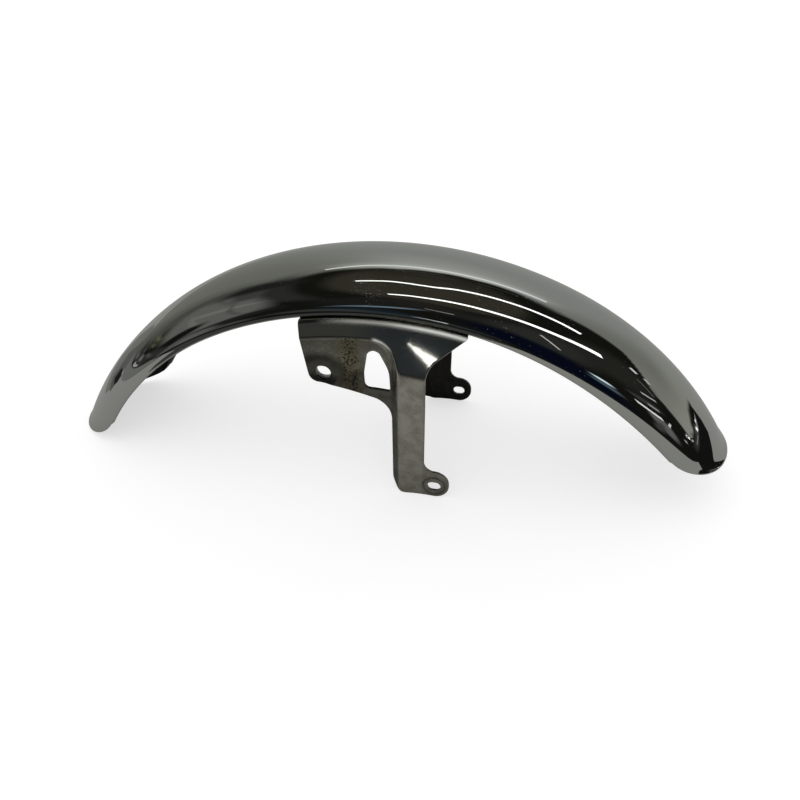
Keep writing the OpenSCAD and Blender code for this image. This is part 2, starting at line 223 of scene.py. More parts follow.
@dataclass(frozen=True)
class GuardLines:
    """Main lines of the guard in mm and degrees, measured from the wheel axle."""

    half_w: float = 54.0
    crown_r: float = 355.0
    section_h: float = 30.0
    section_form: float = 1.8
    blade_t: float = 1.2
    lip_t: float = 2.4
    lip_h: float = 3.0
    tail_deg: float = 62.6
    tail_from: float = 33.6
    tail_r: float = 438.0
    tail_reach: float = 58.0
    tail_tuck: float = 1.2
    tail_tuck_deg: tuple[float, float] = (-25.4, -43.4)
    tail_form: float = 0.5
    nose_deg: float = 54.5
    nose_from: float = 23.6
    nose_r: float = 298.0
    nose_reach: float = 49.0
    nose_tuck: float = 8.0
    nose_tuck_deg: tuple[float, float] = (9.5, 47.9)
    nose_form: float = 0.55
    rim_flare: float = 1.2
    rim_w: float = 9.0
    leg_drop: float = 158.2

    @property
    def lip_r(self) -> float:
        """Radius of the lip from the axle."""
        return self.crown_r - self.section_h

    @property
    def floor_z(self) -> float:
        """Height of the ground in the axle's frame."""
        return self.lip_r - self.leg_drop

    def joined(self, other: float, past: np.ndarray) -> np.ndarray:
        """Crown radius on an end arc that leaves the main arc without a kink.

        Args:
            other: radius of the end arc.
            past: degrees past the start of that arc.

        Returns:
            The distance from the axle.
        """
        a = np.radians(past)
        shift = self.crown_r - other
        return shift * np.cos(a) + np.sqrt(other ** 2 - (shift * np.sin(a)) ** 2)

    def crown_at(self, a: np.ndarray) -> np.ndarray:
        """Radius of the crown.

        Args:
            a: angles along the blade in degrees.

        Returns:
            Distances from the axle.
        """
        main = np.full_like(a, self.crown_r, dtype=float)
        nose = self.joined(self.nose_r, np.maximum(a - self.nose_from, 0))
        tail = self.joined(self.tail_r, np.maximum(-self.tail_from - a, 0))
        return np.where(a > self.nose_from, nose, np.where(a < -self.tail_from, tail, main))

    def lip_at(self, a: np.ndarray) -> np.ndarray:
        """Radius of the lip at angles along the blade."""
        return (self.lip_r - self.nose_tuck * fade(a, *self.nose_tuck_deg)
                - self.tail_tuck * fade(a, *self.tail_tuck_deg))

    def wall_at(self, up: np.ndarray, inside: float) -> np.ndarray:
        """Half width at heights over the lip, a given depth inside the outer face."""
        share = np.minimum(up / (self.section_h - inside), 1.0) ** self.section_form
        return (self.half_w - inside) * (1 - share) ** (1 / self.section_form)

    @property
    def tail_edge(self) -> float:
        """Radius of the flared tip of the tail."""
        return float(self.crown_at(np.array(-self.tail_deg))) + self.rim_flare

    @property
    def nose_edge(self) -> float:
        """Radius of the flared tip of the nose."""
        return float(self.crown_at(np.array(self.nose_deg))) + self.rim_flare

    @property
    def turn(self) -> float:
        """Degrees that the blade turns until its tail rests on the ground."""
        reach = self.tail_edge - self.blade_t
        return math.degrees(math.acos(self.floor_z / reach)) - self.tail_deg

    @property
    def offset(self) -> np.ndarray:
        """Step from the axle's frame to the row's frame.

        Returns:
            x, y and z in mm.
        """
        nose = self.nose_edge * math.sin(math.radians(self.nose_deg - self.turn))
        tail = self.tail_edge * math.sin(math.radians(self.tail_deg + self.turn))
        return np.array([-(nose - tail) / 2, 0.0, -self.floor_z])


# ---- finishes ----------------------------------------------------------------------------


def empty_tree(owner: Material | World) -> NodeTree:
    """Empties a node tree.

    Args:
        owner: the material or world that has it.

    Returns:
        The tree.
    """
    owner.use_nodes = True
    owner.node_tree.nodes.clear()
    return owner.node_tree


def start_material(name: str) -> tuple[Material, NodeTree]:
    """Starts a material with an empty node tree."""
    made = bpy.data.materials.new(name)
    return made, empty_tree(made)


def show(tree: NodeTree, surface: NodeSocket,
         kind: str = "OutputMaterial") -> None:
    """Links a shader to the output of a material or world."""
    tree.links.new(surface, add_node(tree, kind).inputs["Surface"])


def noise(tree: NodeTree, place: NodeSocket, size_mm: float,
          detail: float = 2.0, rough: float = 0.5) -> NodeSocket:
    """Adds a noise whose blotches are about a given size.

    Args:
        tree: the node tree.
        place: coordinates in metres.
        size_mm: size of the blotches in mm.
        detail: octaves of finer noise.
        rough: strength of the finer octaves.

    Returns:
        The noise's level, from 0 to 1 about 0.5.
    """
    node = add_node(tree, "TexNoise", inputs={
        "Vector": place, "Scale": 1 / (size_mm * MM), "Detail": detail, "Roughness": rough})
    return node.outputs["Fac"]


def between(tree: NodeTree, value: NodeSocket, low: float, high: float,
            start: float = 0.0, end: float = 1.0) -> NodeSocket:
    """Maps a span of a value smoothly onto another span."""
    node = add_node(tree, "MapRange", {"interpolation_type": "SMOOTHSTEP"}, {
        "Value": value, "From Min": low, "From Max": high, "To Min": start, "To Max": end})
    return node.outputs["Result"]


def combine(tree: NodeTree, a: NodeSocket | float,
            b: NodeSocket | float, kind: str = "MULTIPLY") -> NodeSocket:
    """Joins two levels by one step of arithmetic."""
    return add_node(tree, "Math", {"operation": kind}, {0: a, 1: b}).outputs[0]


def blend(tree: NodeTree, share: NodeSocket, a: object,
          b: object) -> NodeSocket:
    """Mixes two colours by a share."""
    node = add_node(tree, "Mix", {"data_type": "RGBA"}, {0: share, 6: a, 7: b})
    return node.outputs[2]


@dataclass(frozen=True)
class MirrorChrome:
    """Decorative chrome: bright nickel and chromium plated on buffed, pressed steel.

    Gives the eye a cool, slightly green-grey mirror. Every lamp and wall stands sharp in
    it; wiping marks, dust and a few pits dull it in places, and the pressed steel under it
    waves a little. Its inner wall was never buffed and stays a dark grey.
    """

    name: str = "mirror_chrome"
    colour: str = "#c6c8c4"
    inner_colour: str = "#45443f"
    roughness: float = 0.020
    wiped_rough: float = 0.018
    inner_rough: float = 0.40
    dull_rough: float = 0.30
    dull_share: float = 0.35
    wave_mm: float = 46.0
    wave_m: float = 0.00003
    wipe_mm: float = 14.0
    cloud_mm: float = 30.0
    dust_mm: float = 1.3
    scuff_mm: float = 0.9
    cloud_span: tuple[float, float] = (0.45, 0.75)
    dust_span: tuple[float, float] = (0.71, 0.78)
    wipe_span: tuple[float, float] = (0.35, 0.75)
    scuff_span: tuple[float, float] = (0.60, 0.68)
    scuffs: tuple[tuple[float, float, float, float], ...] = (
        (0.013, -0.040, 0.177, 0.013), (0.023, -0.046, 0.172, 0.014),
        (0.098, -0.030, 0.1735, 0.005), (0.129, -0.034, 0.162, 0.005))

    def scuffed(self, tree: NodeTree,
                place: NodeSocket) -> NodeSocket:
        """Marks left by handling, in small patches high on the right flank.

        Args:
            tree: the node tree.
            place: coordinates in metres.

        Returns:
            The share of scuffing, from 0 to 1.
        """
        total: NodeSocket | float = 0.0
        for *centre, reach in self.scuffs:
            away = add_node(tree, "VectorMath", {"operation": "DISTANCE"}, {
                0: place, 1: centre}).outputs["Value"]
            total = combine(tree, between(tree, away, 0.0, reach, 1.0, 0.0), total,
                            "MAXIMUM")
        lines = noise(tree, place, self.scuff_mm, 3.0, 0.7)
        return combine(tree, total, between(tree, lines, *self.scuff_span))

    def make(self) -> Material:
        """Builds the material.

        Returns:
            The finished material.
        """
        made, tree = start_material(self.name)
        place = add_node(tree, "NewGeometry").outputs["Position"]
        marks = add_node(tree, "Attribute", {"attribute_name": "marks"})
        inside = add_node(tree, "SeparateColor", inputs={
            0: marks.outputs["Color"]}).outputs[0]
        # Dust settles in clouds; each grain is a dull speck
        clouds = between(tree, noise(tree, place, self.cloud_mm), *self.cloud_span)
        grains = between(tree, noise(tree, place, self.dust_mm, 1.0), *self.dust_span)
        dull = combine(tree, combine(tree, clouds, grains), self.scuffed(tree, place),
                       "MAXIMUM")
        rough = between(tree, noise(tree, place, self.wipe_mm, 3.0, 0.6), *self.wipe_span,
                        self.roughness, self.roughness + self.wiped_rough)
        rough = combine(tree, rough, combine(tree, dull, self.dull_rough), "ADD")
        rough = combine(tree, rough, combine(tree, inside, self.inner_rough), "ADD")
        tint = blend(tree, inside, linear(self.colour), linear(self.inner_colour))
        metal = combine(tree, 1.0, combine(tree, dull, self.dull_share), "SUBTRACT")
        wave = add_node(tree, "Bump", inputs={
            "Strength": 1.0, "Distance": self.wave_m,
            "Height": noise(tree, place, self.wave_mm)})
        shader = add_node(tree, "BsdfPrincipled", inputs={
            "Base Color": tint, "Metallic": metal, "Roughness": rough,
            "Normal": wave.outputs["Normal"]})
        show(tree, shader.outputs["BSDF"])
        return made


@dataclass(frozen=True)
class TarnishedChrome:
    """Thin chrome on bent steel sheet, dulled by weather and starting to rust.

    Gives the eye a soft grey mirror with a brown cast, olive-brown pitting where the
    plating broke, dark dirt round the upper hole, painted shade on the ramp, toward the
    foot and round the lower hole's pad, painted highlights along the bend and crest, and
    a gloss kept only on skirt and gusset. The back of the sheet is nearly black.
    """

    name: str = "tarnished_chrome"
    colour: str = "#c7c5bb"
    dull_colour: str = "#aeaba0"
    # Pale colour of hazy places: painted highlights along bend and crest, and the collar's
    # wall
    haze_and_highlight_colour: str = "#dfe1de"
    film_colour: str = "#a39a6c"
    rust_colour: str = "#47452e"
    pit_colour: str = "#191810"
    gloss_rough: float = 0.035
    haze_rough: float = 0.20
    rust_rough: float = 0.25
    soft_rough: tuple[float, float] = (0.19, 0.33)
    rust_dull: float = 0.5
    pit_strength: float = 0.6
    polished_wave: float = 0.06
    stain_span: tuple[float, float] = (0.30, 0.72)
    haze_and_highlight_span: tuple[float, float] = (0.3, 0.9)
    film_span: tuple[float, ...] = (0.15, 0.9, 0.0, 0.6)
    rust_limit: tuple[float, float] = (0.74, 0.50)
    rust_span: tuple[float, float] = (-0.03, 0.05)
    pit_span: tuple[float, float] = (0.05, 0.11)
    soft_span: tuple[float, float] = (0.3, 0.7)
    gloss_span: tuple[float, float] = (0.0, 0.25)
    blotch_mm: float = 9.0
    pit_mm: float = 1.5
    wave_m: float = 0.00012
    pit_m: float = 0.00010

    def make(self) -> Material:
        """Builds the material.

        Returns:
            The finished material.
        """
        made, tree = start_material(self.name)
        place = add_node(tree, "NewGeometry").outputs["Position"]
        marks = add_node(tree, "Attribute", {"attribute_name": "marks"})
        parts = add_node(tree, "SeparateColor", inputs={0: marks.outputs["Color"]})
        tone, rust, polish = parts.outputs[0], parts.outputs[1], parts.outputs[2]
        # Alpha is a hazy share: a dull back, a matte collar wall, and painted highlights
        # along the bend and crest
        haze_and_highlight = marks.outputs["Alpha"]
        # Weathering lies in blotches; pits gather where the rust is
        blotches = noise(tree, place, self.blotch_mm, 3.0, 0.5)
        stain = between(tree, blotches, *self.stain_span)
        unpolished = combine(tree, 1.0, polish, "SUBTRACT")
        base = blend(tree, combine(tree, stain, unpolished), linear(self.colour),
                     linear(self.dull_colour))
        # Where hazy the base turns pale, which paints the highlights along the stay's bend
        # and crest
        base = blend(tree, between(tree, haze_and_highlight, *self.haze_and_highlight_span), base,
                     linear(self.haze_and_highlight_colour))
        # A thin brown film spreads from the rust over the plating round it
        base = blend(tree, between(tree, rust, *self.film_span), base,
                     linear(self.film_colour))
        limit = between(tree, rust, 0.0, 1.0, *self.rust_limit)
        fine = noise(tree, place, self.pit_mm, 3.0, 0.65)
        over = combine(tree, fine, limit, "SUBTRACT")
        rusted = between(tree, over, *self.rust_span)
        pitted = between(tree, over, *self.pit_span)
        base = blend(tree, rusted, base, linear(self.rust_colour))
        base = blend(tree, pitted, base, linear(self.pit_colour))
        # Tone darkens the colour: dirt, and painted shade on the ramp, toward the foot and
        # at the pad's rim
        shade = add_node(tree, "CombineColor", inputs={0: tone, 1: tone, 2: tone})
        base = add_node(tree, "Mix", {"data_type": "RGBA", "blend_type": "MULTIPLY"}, {
            0: 1.0, 6: base, 7: shade.outputs[0]}).outputs[2]
        soft = between(tree, blotches, *self.soft_span, *self.soft_rough)
        gloss = between(tree, haze_and_highlight, *self.gloss_span, self.gloss_rough, self.haze_rough)
        rough = add_node(tree, "Mix", {"data_type": "FLOAT"}, {
            0: polish, 2: soft, 3: gloss}).outputs[0]
        rough = combine(tree, rough, combine(tree, rusted, self.rust_rough), "ADD")
        # Hazy places, some of them painted highlights, and rust lower the metal share
        dull = combine(tree, haze_and_highlight, combine(tree, rusted, self.rust_dull), "MAXIMUM")
        wave = add_node(tree, "Bump", inputs={
            "Strength": between(tree, polish, 0.0, 1.0, 1.0, self.polished_wave),
            "Distance": self.wave_m, "Height": noise(tree, place, self.blotch_mm)})
        pits = add_node(tree, "Bump", {"invert": True}, {
            "Strength": combine(tree, unpolished, self.pit_strength),
            "Distance": self.pit_m, "Height": rusted, "Normal": wave.outputs["Normal"]})
        shader = add_node(tree, "BsdfPrincipled", inputs={
            "Base Color": base, "Metallic": combine(tree, 1.0, dull, "SUBTRACT"),
            "Roughness": rough, "Normal": pits.outputs["Normal"]})
        show(tree, shader.outputs["BSDF"])
        return made


# ---- the blade ---------------------------------------------------------------------------


@dataclass
class Blade:
    """The pressed blade with its rolled lips and spoon-shaped ends.

    The rolled sheet ends in a small step at the hem, and the inner skin starts a gap above
    it. Both ends bulge by a share of the sheet's thickness.
    """

    lines: GuardLines
    finish: MirrorChrome = field(default_factory=MirrorChrome)
    section_steps: int = 44
    run_steps: int = 220
    rim_steps: int = 8
    lip_steps: int = 8
    step_power: float = 1.8
    hem_gap: float = 0.9
    hem_round: float = 0.1
    hem_rises: tuple[float, ...] = (-0.25, 0.0, 0.05, 0.15)
    edge_bulge: float = 0.3

    def step_deg(self, j: np.ndarray) -> np.ndarray:
        """Section angles of steps, closer together toward the lips."""
        left = 1 - np.abs(j) / self.section_steps
        return np.sign(j) * 90 * (1 - left ** self.step_power)

    def end_deg(self, s: np.ndarray, nose: bool) -> np.ndarray:
        """Angle of one end of the blade at given section angles.

        Args:
            s: section angles in degrees, 0 at the crown and 90 at a lip.
            nose: True for the nose, False for the tail.

        Returns:
            Angles along the blade in degrees.
        """
        g = self.lines
        reach, form, edge, tip, way = (
            (g.nose_reach, g.nose_form, g.nose_edge, g.nose_deg, -1) if nose else
            (g.tail_reach, g.tail_form, g.tail_edge, -g.tail_deg, 1))
        middle = np.maximum(np.cos(np.radians(s)), 0)
        return tip + way * np.degrees(reach * (1 - middle ** form) / edge)

    @property
    def stations(self) -> int:
        """Number of spans along the blade."""
        return self.run_steps + 2 * self.rim_steps

    def station_deg(self, s: np.ndarray) -> np.ndarray:
        """Spreads stations from tail to nose, closer together along both rims.

        Args:
            s: section angles in degrees.

        Returns:
            Angles along the blade, one row for each station.
        """
        rim = np.degrees(self.lines.rim_w / self.lines.crown_r)
        first, last = self.end_deg(s, False), self.end_deg(s, True)
        edge = np.arange(self.rim_steps)[:, None] / self.rim_steps
        run = np.arange(self.run_steps + 1)[:, None] / self.run_steps
        return np.concatenate([
            first + rim * edge,
            first + rim + (last - first - 2 * rim) * run,
            last - rim * (1 - edge[1:]),
            last[None, :],
        ])

    def flare(self) -> np.ndarray:
        """Shapes the rim's flare.

        Returns:
            Height of the flare in mm at each station.
        """
        i = np.arange(self.stations + 1)
        d = np.minimum(i, self.stations - i) / self.rim_steps
        return self.lines.rim_flare * np.maximum(1 - d, 0) ** 2

    def place(self, y: np.ndarray, up: np.ndarray, a: np.ndarray) -> np.ndarray:
        """Turns places on the blade into points.

        Args:
            y: distances across from the middle.
            up: heights over the lip.
            a: angles along the blade in degrees.

        Returns:
            x, y, z of each point.
        """
        r = self.lines.lip_at(a) + up
        t = np.radians(a - self.lines.turn)
        y = np.broadcast_to(y, r.shape)
        return np.stack([r * np.sin(t), y, r * np.cos(t)], axis=-1)

    def skin(self, s: np.ndarray, inside: float) -> np.ndarray:
        """Points of the skin, one row for each station.

        Args:
            s: section angles in degrees.
            inside: depth in mm inside the outer face.

        Returns:
            An array of stations by section angles by x, y, z.
        """
        g = self.lines
        a = self.station_deg(s)
        c = np.maximum(np.cos(np.radians(s)), 0)
        power = 2 / g.section_form
        rise = (g.crown_at(a) - g.lip_at(a) - inside) * c ** power
        out = (g.half_w - inside) * np.abs(np.sin(np.radians(s))) ** power * np.sign(s)
        return self.place(out, rise + self.flare()[:, None] * c, a)

    def rolled_lip(self, side: int, hem_deg: float) -> np.ndarray:
        """Points of one lip: its round bottom, its inner wall and the step to the sheet.

        Args:
            side: 1 for the left lip and -1 for the right one.
            hem_deg: section angle at which the rolled sheet ends.

        Returns:
            An array of stations by steps by x, y, z.
        """
        g = self.lines
        round_r = g.lip_t / 2
        d = np.radians(180 * np.arange(1, self.lip_steps + 1) / self.lip_steps)
        a = self.station_deg(np.full(self.lip_steps, 90.0))
        bottom = self.place(side * (g.half_w - round_r + round_r * np.cos(d)),
                            -round_r * np.sin(d), a)
        wall = float(g.wall_at(np.array(g.lip_h), g.blade_t))
        lip = g.half_w - g.lip_t
        b = self.station_deg(np.full(4, hem_deg))
        ys = side * np.array([lip, lip + self.hem_round, wall - self.hem_round, wall])
        ups = g.lip_h + np.array(self.hem_rises)
        return np.concatenate([bottom, self.place(ys, ups, b)], axis=1)

    def cap(self, base: int, start: int, partner: Sequence[int], lips: Sequence[int],
            cols: int) -> list[list[int]]:
        """Closes one end of the blade by its middle points.

        Args:
            base: index of the end's first vertex.
            start: index of the first middle point.
            partner: inner vertex that faces each outer one.
            lips: where the left lip ends and the right lip starts.
            cols: vertices of the end.

        Returns:
            Vertex indices of each face.
        """
        last = 2 * self.section_steps
        faces: list[list[int]] = []
        for k in range(last):
            faces.append([base + k, base + k + 1, start + k + 1, start + k])
            inner = [start + k, start + k + 1, base + partner[k + 1], base + partner[k]]
            faces.append(inner[:3] if partner[k] == partner[k + 1] else inner)
        faces += [[base + k, base + k + 1, start + last] for k in range(last, lips[0])]
        faces += [[base + k, base + (k + 1) % cols, start] for k in range(lips[1], cols)]
        return faces

    def build(self) -> Object:
        """Builds the blade's mesh and dresses it.

        Returns:
            The blade's object.
        """
        g, n = self.lines, self.section_steps
        all_s = self.step_deg(np.arange(-n, n + 1))
        height = g.section_h * np.cos(np.radians(all_s)) ** (2 / g.section_form)
        keep = [k for k, h in enumerate(height) if h > g.lip_h + self.hem_gap]
        hem_deg = float(all_s[min(k for k in range(n, 2 * n + 1) if height[k] < g.lip_h)])
        left, right = (self.rolled_lip(side, hem_deg) for side in (1, -1))
        rings = np.concatenate([self.skin(all_s, 0.0), left,
                                self.skin(all_s[keep][::-1], g.blade_t),
                                right[:, ::-1]], axis=1)
        rows, cols = rings.shape[:2]
        left_hub = 2 * n + left.shape[1]
        right_hub = left_hub + len(keep) + 1
        partner = [right_hub if k < keep[0] else left_hub if k > keep[-1]
                   else left_hub + 1 + (keep[-1] - k) for k in range(2 * n + 1)]
        points, faces = rings.reshape(-1, 3), grid_faces(rows, cols, closed=True)
        for station, before in ((0, 1), (rows - 1, rows - 2)):
            outer, inner = rings[station, :2 * n + 1], rings[station, partner]
            ahead = unit(outer - rings[before, :2 * n + 1])
            gap = np.linalg.norm(outer - inner, axis=1)[:, None]
            bulge = ahead * np.minimum(gap, g.blade_t) * self.edge_bulge
            mids = (outer + inner) / 2 + bulge
            cap = self.cap(station * cols, len(points), partner,
                           (left_hub, right_hub), cols)
            faces += [f[::-1] for f in cap] if station else cap
            points = np.concatenate([points, mids])
        # The inner wall, which the buffing wheel never reached, is dull and dark
        inside = np.zeros((rows, cols))
        inside[:, left_hub:right_hub + 1] = 1.0
        marks = np.zeros((len(points), 4))
        marks[:rows * cols, 0] = inside.ravel()
        made = make_piece("chromed_blade", points, faces, g.offset, marks)
        made.data.materials.append(self.finish.make())
        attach(made, "root")
        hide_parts("blade")
        return made


# ---- the stays ---------------------------------------------------------------------------


@dataclass(frozen=True)
class StayLines:
    """Sizes of a stay in mm and degrees, measured from the wheel axle."""

    guard: GuardLines
    sheet_t: float = 2.0
    weld_gap: float = 0.3
    flange_h: float = 12.0
    shelf_out: float = 3.7
    shelf_r: float = 3.0
    skirt_deg: float = 20.0
    plate_out: float = 8.2
    leg_out: float = 16.5
    ramp_deg: float = 49.0
    plate_corner_r: float = 16.0
    stay_front: float = 74.3
    stay_rear: float = 49.1
    rear_edge_deg: float = 5.6
    rear_corner_r: float = 8.5
    plate_drop: float = 56.3
    plate_edge_deg: float = 12.0
    crook_r: float = 19.0
    leg_x: float = 13.3
    leg_w: float = 28.0
    leg_lean_deg: float = 2.1
    foot_r: float = 12.5
    gusset_drop: float = 32.9
    gusset_deg: float = 37.0
    gusset_r: float = 20.0
    lug_front: float = 63.1
    lug_h: float = 27.1
    lug_r: float = 12.3
    lug_crook_r: float = 8.5
    gusset_tip_r: float = 1.5
    shelf_drop: float = 10.0
    slot_w: float = 8.2
    slot_l: float = 11.0
    slot_x: float = 50.8
    slot_z: float = 12.1
    pad_r: float = 9.0
    pad_h: float = 0.6
    collar_w: float = 11.6
    collar_l: float = 12.9
    collar_h: float = 8.2
    collar_t: float = 1.6
    collar_x: float = 38.1
    collar_drop: float = 49.0
    dish_r: float = 13.0
    dish_h: float = 1.5
    window_h: float = 33.5
    window_w: float = 19.4
    window_x: float = 3.4
    window_rise: float = 9.6
    crest_soft: float = 0.5
    ramp_soft: float = 3.0
    field_rise: float = 0.6
    pad_edge: float = 1.0

    @property
    def plate_y(self) -> float:
        """Distance of the plate's outer face from the middle."""
        return self.guard.half_w + self.plate_out

    @property
    def leg_y(self) -> float:
        """Distance of the leg's outer face from the middle."""
        return self.guard.half_w + self.leg_out

    @property
    def lean(self) -> float:
        """Step along X of the leg for each mm of height."""
        return slope(self.leg_lean_deg)

    @property
    def slot_place(self) -> tuple[float, float]:
        """Middle of the lower slot in the side view."""
        return (self.slot_x, self.guard.floor_z + self.slot_z)

    @property
    def collar_place(self) -> tuple[float, float]:
        """Middle of the collar in the side view."""
        return (-self.collar_x, self.guard.lip_r - self.collar_drop)

    @property
    def seat_r(self) -> float:
        """Radius of the bend that follows the blade's rolled lip."""
        return self.guard.lip_t / 2 + self.weld_gap

    @property
    def shelf_rho(self) -> float:
        """Distance of the shelf's upper face from the axle."""
        return self.guard.lip_r - self.seat_r

    @property
    def shelf_bend_y(self) -> float:
        """Place across of the centre of the bend between shelf and skirt."""
        return (self.guard.half_w + self.shelf_out
                - self.shelf_r * slope((90 - self.skirt_deg) / 2))

    @property
    def skirt_start(self) -> tuple[float, float]:
        """Where the skirt starts: distance from the axle and place across."""
        a = math.radians(self.skirt_deg)
        return (self.shelf_rho - self.shelf_r + self.shelf_r * math.sin(a),
                self.shelf_bend_y + self.shelf_r * math.cos(a))

    @property
    def plate_rho(self) -> float:
        """Distance from the axle of the crest between skirt and plate."""
        rho, y = self.skirt_start
        return rho - (self.plate_y - y) / slope(self.skirt_deg)

    def past_plate(self, c: np.ndarray, rho: np.ndarray) -> np.ndarray:
        """Distance outside the plate's flat field with its rounded upper front corner.

        Args:
            c: places along the motorcycle, without the leg's lean.
            rho: distances from the axle.

        Returns:
            Distances in mm, negative inside the field.
        """
        dx = c - self.leg_x + self.plate_corner_r
        dr = rho - self.plate_rho - self.field_rise + self.plate_corner_r
        out = np.hypot(np.maximum(dx, 0), np.maximum(dr, 0))
        return out + np.minimum(np.maximum(dx, dr), 0) - self.plate_corner_r

    def relief(self, x: np.ndarray, z: np.ndarray) -> np.ndarray:
        """Height of the pad round the lower slot less the dish round the upper slot.

        Args:
            x: places along the motorcycle.
            z: heights in the axle's frame.

        Returns:
            Heights over the plain sheet.
        """
        pad, dish = (np.hypot(x - at[0], z - at[1])
                     for at in (self.slot_place, self.collar_place))
        return (self.pad_h * fade(pad, self.pad_r, self.pad_r - self.pad_edge)
                - self.dish_h * fade(dish, self.dish_r, self.collar_l / 2))

    def levels(self, x: np.ndarray, z: np.ndarray,
               rho: np.ndarray) -> tuple[np.ndarray, np.ndarray, np.ndarray]:
        """Where the sheet's fields lie below the shelf.

        Args:
            x: places along the motorcycle.
            z: heights in the axle's frame.
            rho: distances from the axle, without the lip's tuck.

        Returns:
            How far the skirt stands out, how far plate, ramp and leg do, and the distance
            outside the plate's flat field.
        """
        past = self.past_plate(x - self.lean * (z - self.guard.floor_z), rho)
        start_rho, start_y = self.skirt_start
        skirt = start_y + (start_rho - rho) * slope(self.skirt_deg)
        rise = soft_max(slope(self.ramp_deg) * past, 0.0, self.ramp_soft)
        level = self.plate_y + soft_min(rise, self.leg_y - self.plate_y, self.ramp_soft)
        return skirt, level, past

    def face_y(self, x: np.ndarray, z: np.ndarray, rho: np.ndarray) -> np.ndarray:
        """How far the outer face stands out below the shelf."""
        skirt, level, _ = self.levels(x, z, rho)
        return soft_min(skirt, level, self.crest_soft) + self.relief(x, z)


def corner_points(a: Sequence[float], b: Sequence[float],
                  c: Sequence[float]) -> list[tuple[float, float]]:
    """Rounds one corner of an outline.

    Args:
        a: the corner before, as x, z and radius.
        b: this corner.
        c: the corner after.

    Returns:
        Points along the rounded corner.
    """
    p, radius = np.array(b[:2]), b[2]
    if radius == 0:
        return [(b[0], b[1])]
    u, v = unit(np.array([a[:2], c[:2]]) - p)
    half = math.acos(float(np.clip(u @ v, -1, 1))) / 2
    hub = p + (u + v) / np.linalg.norm(u + v) * radius / math.sin(half)
    start = p + u * radius / math.tan(half) - hub
    sweep = (math.pi - 2 * half) * math.copysign(1, v[0] * u[1] - v[1] * u[0])
    steps = max(3, math.ceil(abs(sweep) * radius / ARC_STEP))
    return [(float(hub[0] + start[0] * math.cos(t) - start[1] * math.sin(t)),
             float(hub[1] + start[0] * math.sin(t) + start[1] * math.cos(t)))
            for t in np.linspace(0, sweep, steps + 1)]


def rounded(corners: Sequence[Sequence[float]]) -> np.ndarray:
    """Turns corners with radii into a closed outline.

    Args:
        corners: x, z and radius of each corner.

    Returns:
        One row for each point of the outline.
    """
    after = [*corners[1:], corners[0]]
    return np.array([point for k, corner in enumerate(corners)
                     for point in corner_points(corners[k - 1], corner, after[k])])


def slot_loop(middle: tuple[float, float], length: float, width: float) -> np.ndarray:
    """Outline of a level slot with round ends in the side view.

    Args:
        middle: x and z of the slot's middle.
        length: length over the round ends.
        width: width of the slot.

    Returns:
        One row for each point of the outline.
    """
    run = (length - width) / 2
    a = np.radians(np.linspace(-90, 90, 25))
    end = np.stack([run + width / 2 * np.cos(a), width / 2 * np.sin(a)], axis=1)
    return np.vstack([middle + end, middle - end])


def resampled(loop: np.ndarray, step: float) -> np.ndarray:
    """Spreads points along a closed loop at an even spacing.

    Args:
        loop: points of the loop.
        step: spacing of the new points, about.

    Returns:
        The new points.
    """
    closed = np.vstack([loop, loop[:1]])
    lengths = np.linalg.norm(np.diff(closed, axis=0), axis=1)
    run = np.concatenate([[0], np.cumsum(lengths)])
    count = max(12, round(run[-1] / step))
    at = np.arange(count) * run[-1] / count
    return np.stack([np.interp(at, run, closed[:, k]) for k in (0, 1)], axis=1)


def shifted(loop: np.ndarray, amount: float) -> np.ndarray:
    """Moves a loop sideways.

    Args:
        loop: points of the loop.
        amount: step in mm toward the loop's inside, or outside where it is negative.

    Returns:
        The moved points.
    """
    ahead = np.roll(loop, -1, axis=0) - np.roll(loop, 1, axis=0)
    inward = unit(np.stack([-ahead[:, 1], ahead[:, 0]], axis=1))
    area = np.sum(loop[:, 0] * np.roll(loop[:, 1], -1)
                  - loop[:, 1] * np.roll(loop[:, 0], -1))
    return loop + inward * amount * math.copysign(1, area)


def in_loop(points: np.ndarray, loop: np.ndarray) -> np.ndarray:
    """Tells which points lie inside a closed loop.

    Args:
        points: the points to test.
        loop: points of the loop.

    Returns:
        True for each point inside.
    """
    x, y = points[:, 0], points[:, 1]
    result = np.zeros(len(points), dtype=bool)
    for (x0, y0), (x1, y1) in zip(loop, np.roll(loop, -1, axis=0)):
        if y1 != y0:
            crosses = (y0 > y) != (y1 > y)
            result ^= crosses & (x < (x1 - x0) * (y - y0) / (y1 - y0) + x0)
    return result


def in_sheet(points: np.ndarray, loops: Sequence[np.ndarray]) -> np.ndarray:
    """Tells which points lie inside the first loop and outside all others."""
    outer, *holes = (in_loop(points, loop) for loop in loops)
    return outer & ~np.any(holes, axis=0)


def off_loop(points: np.ndarray, loop: np.ndarray, gap: float) -> np.ndarray:
    """Tells which points keep a gap from every vertex of a loop."""
    return np.all([np.hypot(*(points - p).T) > gap for p in loop], axis=0)


